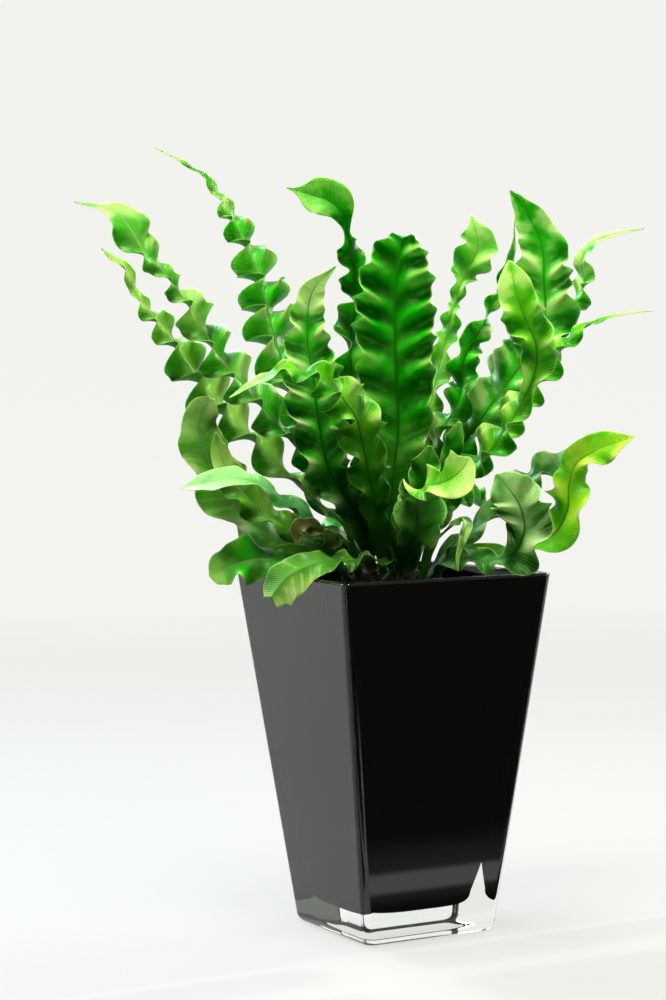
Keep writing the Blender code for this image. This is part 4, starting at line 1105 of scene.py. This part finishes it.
def build_mix():
    """Growing mix: it fills the lining, and its top is lumpy with loose crumbs."""
    rng = random.Random(5)
    floor = BASE_GLASS + 2 * GAP + LINING_FLOOR
    inset = 2 * GAP + LINING_WALL
    rings = hollow_rings(inset, floor, SOIL_LEVEL)
    edge = rings[-1]
    middle = CROWN_RADIUS * 0.5
    for step in range(1, MIX_RINGS + 1):
        ring = []
        for x, y, z in edge:
            reach = math.hypot(x, y)
            size = lerp(reach, middle, step / MIX_RINGS)
            px, py = x / reach * size, y / reach * size
            rise = sum(height * lump(px, py, scale, seed) for height, scale, seed in MIX_LUMPS)
            ring.append((px, py, z + rise))
        rings.append(ring)
    vertices, faces = loft(rings)
    half = cavity_half(SOIL_LEVEL) - inset - CRUMB_MARGIN
    for _ in range(CRUMBS):
        x, y = rng.uniform(-half, half), rng.uniform(-half, half)
        if math.hypot(x, y) < CROWN_RADIUS:
            continue
        more, patches = crumb((x, y, SOIL_LEVEL + CRUMB_LIFT), rng.uniform(*CRUMB_SIZES), rng)
        start = len(vertices)
        vertices += more
        faces += [tuple(start + i for i in f) for f in patches]
    return dress(add_piece("growing_mix_fine", vertices, faces, [peat_material()]), "growing_mix")


def scale_blade(place, outward, lift, length, half, rng):
    """One papery scale: a pointed blade that rises from the crown and bends over."""
    side = Vector((-outward.y, outward.x, 0.0))
    vertices, tips, faces = [], [], []
    bend = rng.uniform(*SCALE_BENDS)
    for row in range(SCALE_STEPS + 1):
        t = row / SCALE_STEPS
        tilt = lift - bend * t
        centre = place + (outward * math.cos(tilt) + Vector((0, 0, 1)) * math.sin(tilt)) * length * t
        width = half * math.sin(math.pi * (0.12 + 0.88 * t) ** 0.8) + SCALE_POINT
        up = Vector((0, 0, 1)) * math.cos(tilt) - outward * math.sin(tilt)
        vertices += [centre - side * width, centre + up * (SCALE_THICK + width * SCALE_ARCH),
                     centre + side * width, centre - up * SCALE_THICK]
        tips += [t] * 4
    for row in range(SCALE_STEPS):
        a, b = row * 4, row * 4 + 4
        for i in range(4):
            j = (i + 1) % 4
            faces.append((a + j, a + i, b + i, b + j))
    faces.append((0, 1, 2, 3))
    faces.append(tuple(reversed(range(SCALE_STEPS * 4, SCALE_STEPS * 4 + 4))))
    return vertices, faces, tips


def crown_rings():
    """Rings up the crown's low dome, lumpy above its rim."""
    low = SOIL_LEVEL - POCKET_DEPTH + GAP
    rim = SOIL_LEVEL + CROWN_RIM
    profile = [(0.97 * CROWN_RADIUS, low), (CROWN_RADIUS - GAP, low + CROWN_RIM), (CROWN_RADIUS - GAP, rim)]
    radii = [CROWN_RADIUS * (1 - step / CROWN_STEPS) for step in range(1, CROWN_STEPS)]
    profile += [(radius, crown_height(radius)) for radius in radii]
    rings = []
    for radius, z in profile:
        ring = []
        for k in range(CROWN_SIDES):
            angle = k * TAU / CROWN_SIDES
            x, y = radius * math.cos(angle), radius * math.sin(angle)
            ring.append((x, y, z + (0.0007 * lump(x, y, 260, 2.0) if z > rim else 0.0)))
        rings.append(ring)
    return rings


def build_crown():
    """Scaly rhizome: a low dome under rows of overlapping papery scales."""
    rng = random.Random(8)
    vertices, faces = loft(crown_rings())
    tips = [0.0] * len(vertices)
    for row in range(SCALE_ROWS):
        radius = CROWN_RADIUS * (0.93 - 0.86 * row / SCALE_ROWS)
        count = max(int(TAU * radius / SCALE_PITCH), 6)
        for k in range(count):
            angle = (k + 0.5 * (row % 2) + rng.uniform(-0.2, 0.2)) * TAU / count
            outward = Vector((math.cos(angle), math.sin(angle), 0.0))
            place = outward * radius + Vector((0, 0, crown_height(radius) - SCALE_SEAT))
            sizes = [rng.uniform(*limits) for limits in (SCALE_LIFTS, SCALE_LENGTHS, SCALE_HALVES)]
            more, patches, more_tips = scale_blade(place, outward, *sizes, rng)
            start = len(vertices)
            vertices += more
            faces += [tuple(start + i for i in f) for f in patches]
            tips += more_tips
    piece = add_piece("crown_fine", vertices, faces, [scale_material()])
    add_values(piece, "tipward", tips)
    return dress(piece, "crown")


# Fronds

def fine_side(member, side, spine, width, edges):
    """One side as the solid's blade runs, with ripples near the margin, and the height of its waves."""
    along = stations(len(spine[0]))
    phase, angle, reach, rng = swings(member, side, spine, edges)
    beat = RIPPLE_STRAY * np.sin(RIPPLE_DRIFT * along * spine[3] / member.pitch + rng.uniform(0, TAU))
    beat = beat + rng.uniform(0, TAU)
    ripple = RIPPLE_SWING * np.sin(TAU * along * spine[3] / RIPPLE_PITCH + beat)
    ripple = ripple * smoothstep(*SWEEP_GROWS, along) * smoothstep(*RIPPLE_ENDS, along)
    angle = angle + ripple[:, None] * reach ** RIPPLE_GATHER
    crest = np.sin(phase[:, None] + FOLD_LAG * edges[1:]) * liveliness(member, along)[:, None]
    return spread_out(side, spine, width, phase, angle, edges), crest * edges[1:] ** 0.5


def fine_grid(member, socket, narrowing):
    """Middle surface of a fine blade, the wave's height on it, the places of its columns and stations, its
    length and its half widths."""
    length = frond_spine(member, socket, MEASURE_STATIONS)[3]
    count = int(length / FINE_STEP)
    spine = frond_spine(member, socket, count)
    along = stations(count)
    room = np.interp(along, stations(len(narrowing)), narrowing)
    width = blade_half_width(member, along, length, room)
    edges = np.linspace(0.0, 1.0, FINE_LATERAL + 1) ** COLUMN_SPREAD
    left, left_crest = fine_side(member, -1, spine, width, edges)
    right, right_crest = fine_side(member, 1, spine, width, edges)
    middle = np.concatenate([left[:, ::-1], spine[0][:, None, :], right], axis=1)
    crest = np.concatenate([left_crest[:, ::-1], np.zeros((count, 1)), right_crest], axis=1)
    reach = np.concatenate([edges[:0:-1], edges])
    return middle, crest, reach, along, length, width


def blade_shell(middle, reach, along, length, width):
    """Points round each station of a thin blade with a round stalk, a raised rib and rounded margins."""
    normal = unit(np.cross(np.gradient(middle, axis=1), np.gradient(middle, axis=0)))
    stalk = 1.0 - smoothstep(STALK_LENGTH, 3 * STALK_LENGTH, along * length)
    half = lerp(FINE_THICK / 2, STALK_THICK / 2, stalk)[:, None]
    dome = lerp(1.0 - EDGE_THINS * reach, np.sqrt(1.0 - STALK_ROUND * reach ** 2), stalk[:, None])
    rib_depth = lerp(FINE_RIB, FINE_RIB_TIP, smoothstep(*RIB_FADES, along))[:, None]
    rib = np.exp(-(reach * width[:, None] / RIB_SPREAD) ** 2) * rib_depth
    above = (half * dome + RIB_ABOVE * rib) * MM
    below = (half * dome + rib) * MM
    upper = middle + normal * above[..., None]
    lower = middle - normal * below[..., None]
    rim = []
    for edge, inner in ((-1, -2), (0, 1)):
        outward = unit(middle[:, edge] - middle[:, inner])
        rim.append((middle[:, edge] + outward * (half * dome)[:, [edge]] * MM)[:, None, :])
    return np.concatenate([upper, rim[0], lower[:, ::-1], rim[1]], axis=1)


def fine_frond(member, socket, narrowing):
    """One frond as a fine closed blade, which carries the values that its material reads."""
    middle, crest, reach, along, length, width = fine_grid(member, socket, narrowing)
    count, columns = middle.shape[:2]
    shell = blade_shell(middle, reach, along, length, width)
    vertices, faces = loft(shell.tolist())
    piece = add_piece("frond_%s_fine" % member.name, vertices, faces, [leaf_material(member)])
    tipward = np.repeat(along, 2 * columns + 2)
    add_values(piece, "reach", np.tile(np.concatenate([reach, [1.0], reach[::-1], [1.0]]), count))
    add_values(piece, "under", np.tile([0.0] * columns + [0.5] + [1.0] * columns + [0.5], count))
    waved = np.concatenate([crest, crest[:, -1:], -crest[:, ::-1], crest[:, :1]], axis=1)
    add_values(piece, "crest", waved.ravel())
    add_values(piece, "tipward", tipward)
    add_values(piece, "span", tipward * length)
    return dress(piece, "frond_" + member.name)


def build_fronds():
    """Every frond, narrowed where the solids are."""
    sockets = place_sockets()
    bpy.context.view_layer.update()
    glass = [tree_of(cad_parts["vase_glass"]), tree_of(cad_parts["vase_lining"])]
    room = make_room(sockets, glass)
    for member in FRONDS:
        fine_frond(member, sockets[member.name], room[member.name])


# Studio

def build_studio():
    """A pale floor that rises into a wall behind, in one curved sheet."""
    profile = [(FLOOR_FRONT, 0.0), (WALL_AWAY - WALL_CURVE, 0.0)]
    for angle in quarter(WALL_STEPS)[1:]:
        profile.append((WALL_AWAY - WALL_CURVE * (1 - math.sin(angle)), WALL_CURVE * (1 - math.cos(angle))))
    profile.append((WALL_AWAY, WALL_HEIGHT))
    turn = Matrix.Rotation(PLANT_TURN, 3, "Z")
    vertices, faces = sheet_mesh(profile, -STUDIO_HALF, STUDIO_HALF)
    paint = paint_material()
    sheet = add_piece("studio_sheet", [turn @ v for v in vertices], faces, [paint])
    sheet.visible_diffuse = False
    build_surround(paint)


def build_surround(paint):
    """The room round the sheet: a floor just under it and a round wall, seen from the other sides."""
    rings = []
    for up in (-SURROUND_DROP, SURROUND_HEIGHT):
        angles = [side * TAU / SURROUND_SIDES for side in range(SURROUND_SIDES)]
        rings.append([(SURROUND_RADIUS * math.cos(a), SURROUND_RADIUS * math.sin(a), up) for a in angles])
    vertices, faces = loft(rings)
    room = add_piece("studio_surround", vertices, faces[:-1], [paint], smooth=False)
    room.visible_diffuse = False
    room.visible_glossy = False
    room.visible_transmission = False
    room.visible_shadow = False


def build_card():
    """A bent black card that only reflections show, as a photographer stands in front of glass."""
    vertices, faces = sheet_mesh(CARD_PROFILE, CARD_LEFT, CARD_RIGHT)
    card = add_piece("dark_card", vertices, faces, [card_material()])
    card.visible_camera = False
    card.visible_diffuse = False
    card.visible_transmission = False
    card.visible_shadow = False


def soft_light(name, place, size, power, colour):
    """A square soft light that faces the plant. The place is in millimetres in the plant's frame."""
    lamp = bpy.data.lights.new(name, "AREA")
    lamp.shape = "SQUARE"
    lamp.size = size
    lamp.energy = power
    lamp.color = colour
    item = bpy.data.objects.new(name, lamp)
    start = Vector(to_plant(place))
    aim = Vector(to_plant(AIM))
    item.location = start
    item.rotation_euler = (aim - start).to_track_quat("-Z", "Y").to_euler()
    item.visible_camera = False
    bpy.context.scene.collection.objects.link(item)


def build_camera():
    """The photograph's viewpoint."""
    camera = bpy.data.cameras.new("camera")
    camera.lens = LENS
    camera.sensor_fit = "VERTICAL"
    camera.sensor_height = SENSOR
    item = bpy.data.objects.new("camera", camera)
    turn = Matrix.Rotation(PLANT_TURN - CAMERA_YAW, 4, "Z")
    tilt = Matrix.Rotation(math.pi / 2 + CAMERA_PITCH, 4, "X")
    roll = Matrix.Rotation(CAMERA_ROLL, 4, "Z")
    item.matrix_world = Matrix.Translation(to_plant(CAMERA_PLACE)) @ (turn @ tilt) @ roll
    bpy.context.scene.collection.objects.link(item)
    bpy.context.scene.camera = item


def build_lights():
    """The soft lights and a pale world."""
    for light in LIGHTS:
        soft_light(*light)
    world = bpy.data.worlds.new("world")
    bpy.context.scene.world = world
    world.use_nodes = True
    background = world.node_tree.nodes["Background"]
    background.inputs["Color"].default_value = WORLD_COLOUR
    background.inputs["Strength"].default_value = WORLD_STRENGTH
    bpy.context.scene.view_settings.view_transform = "Standard"


build_vase_glass()
build_vase_lining()
build_mix()
build_crown()
build_fronds()
build_studio()
build_card()
build_camera()
build_lights()
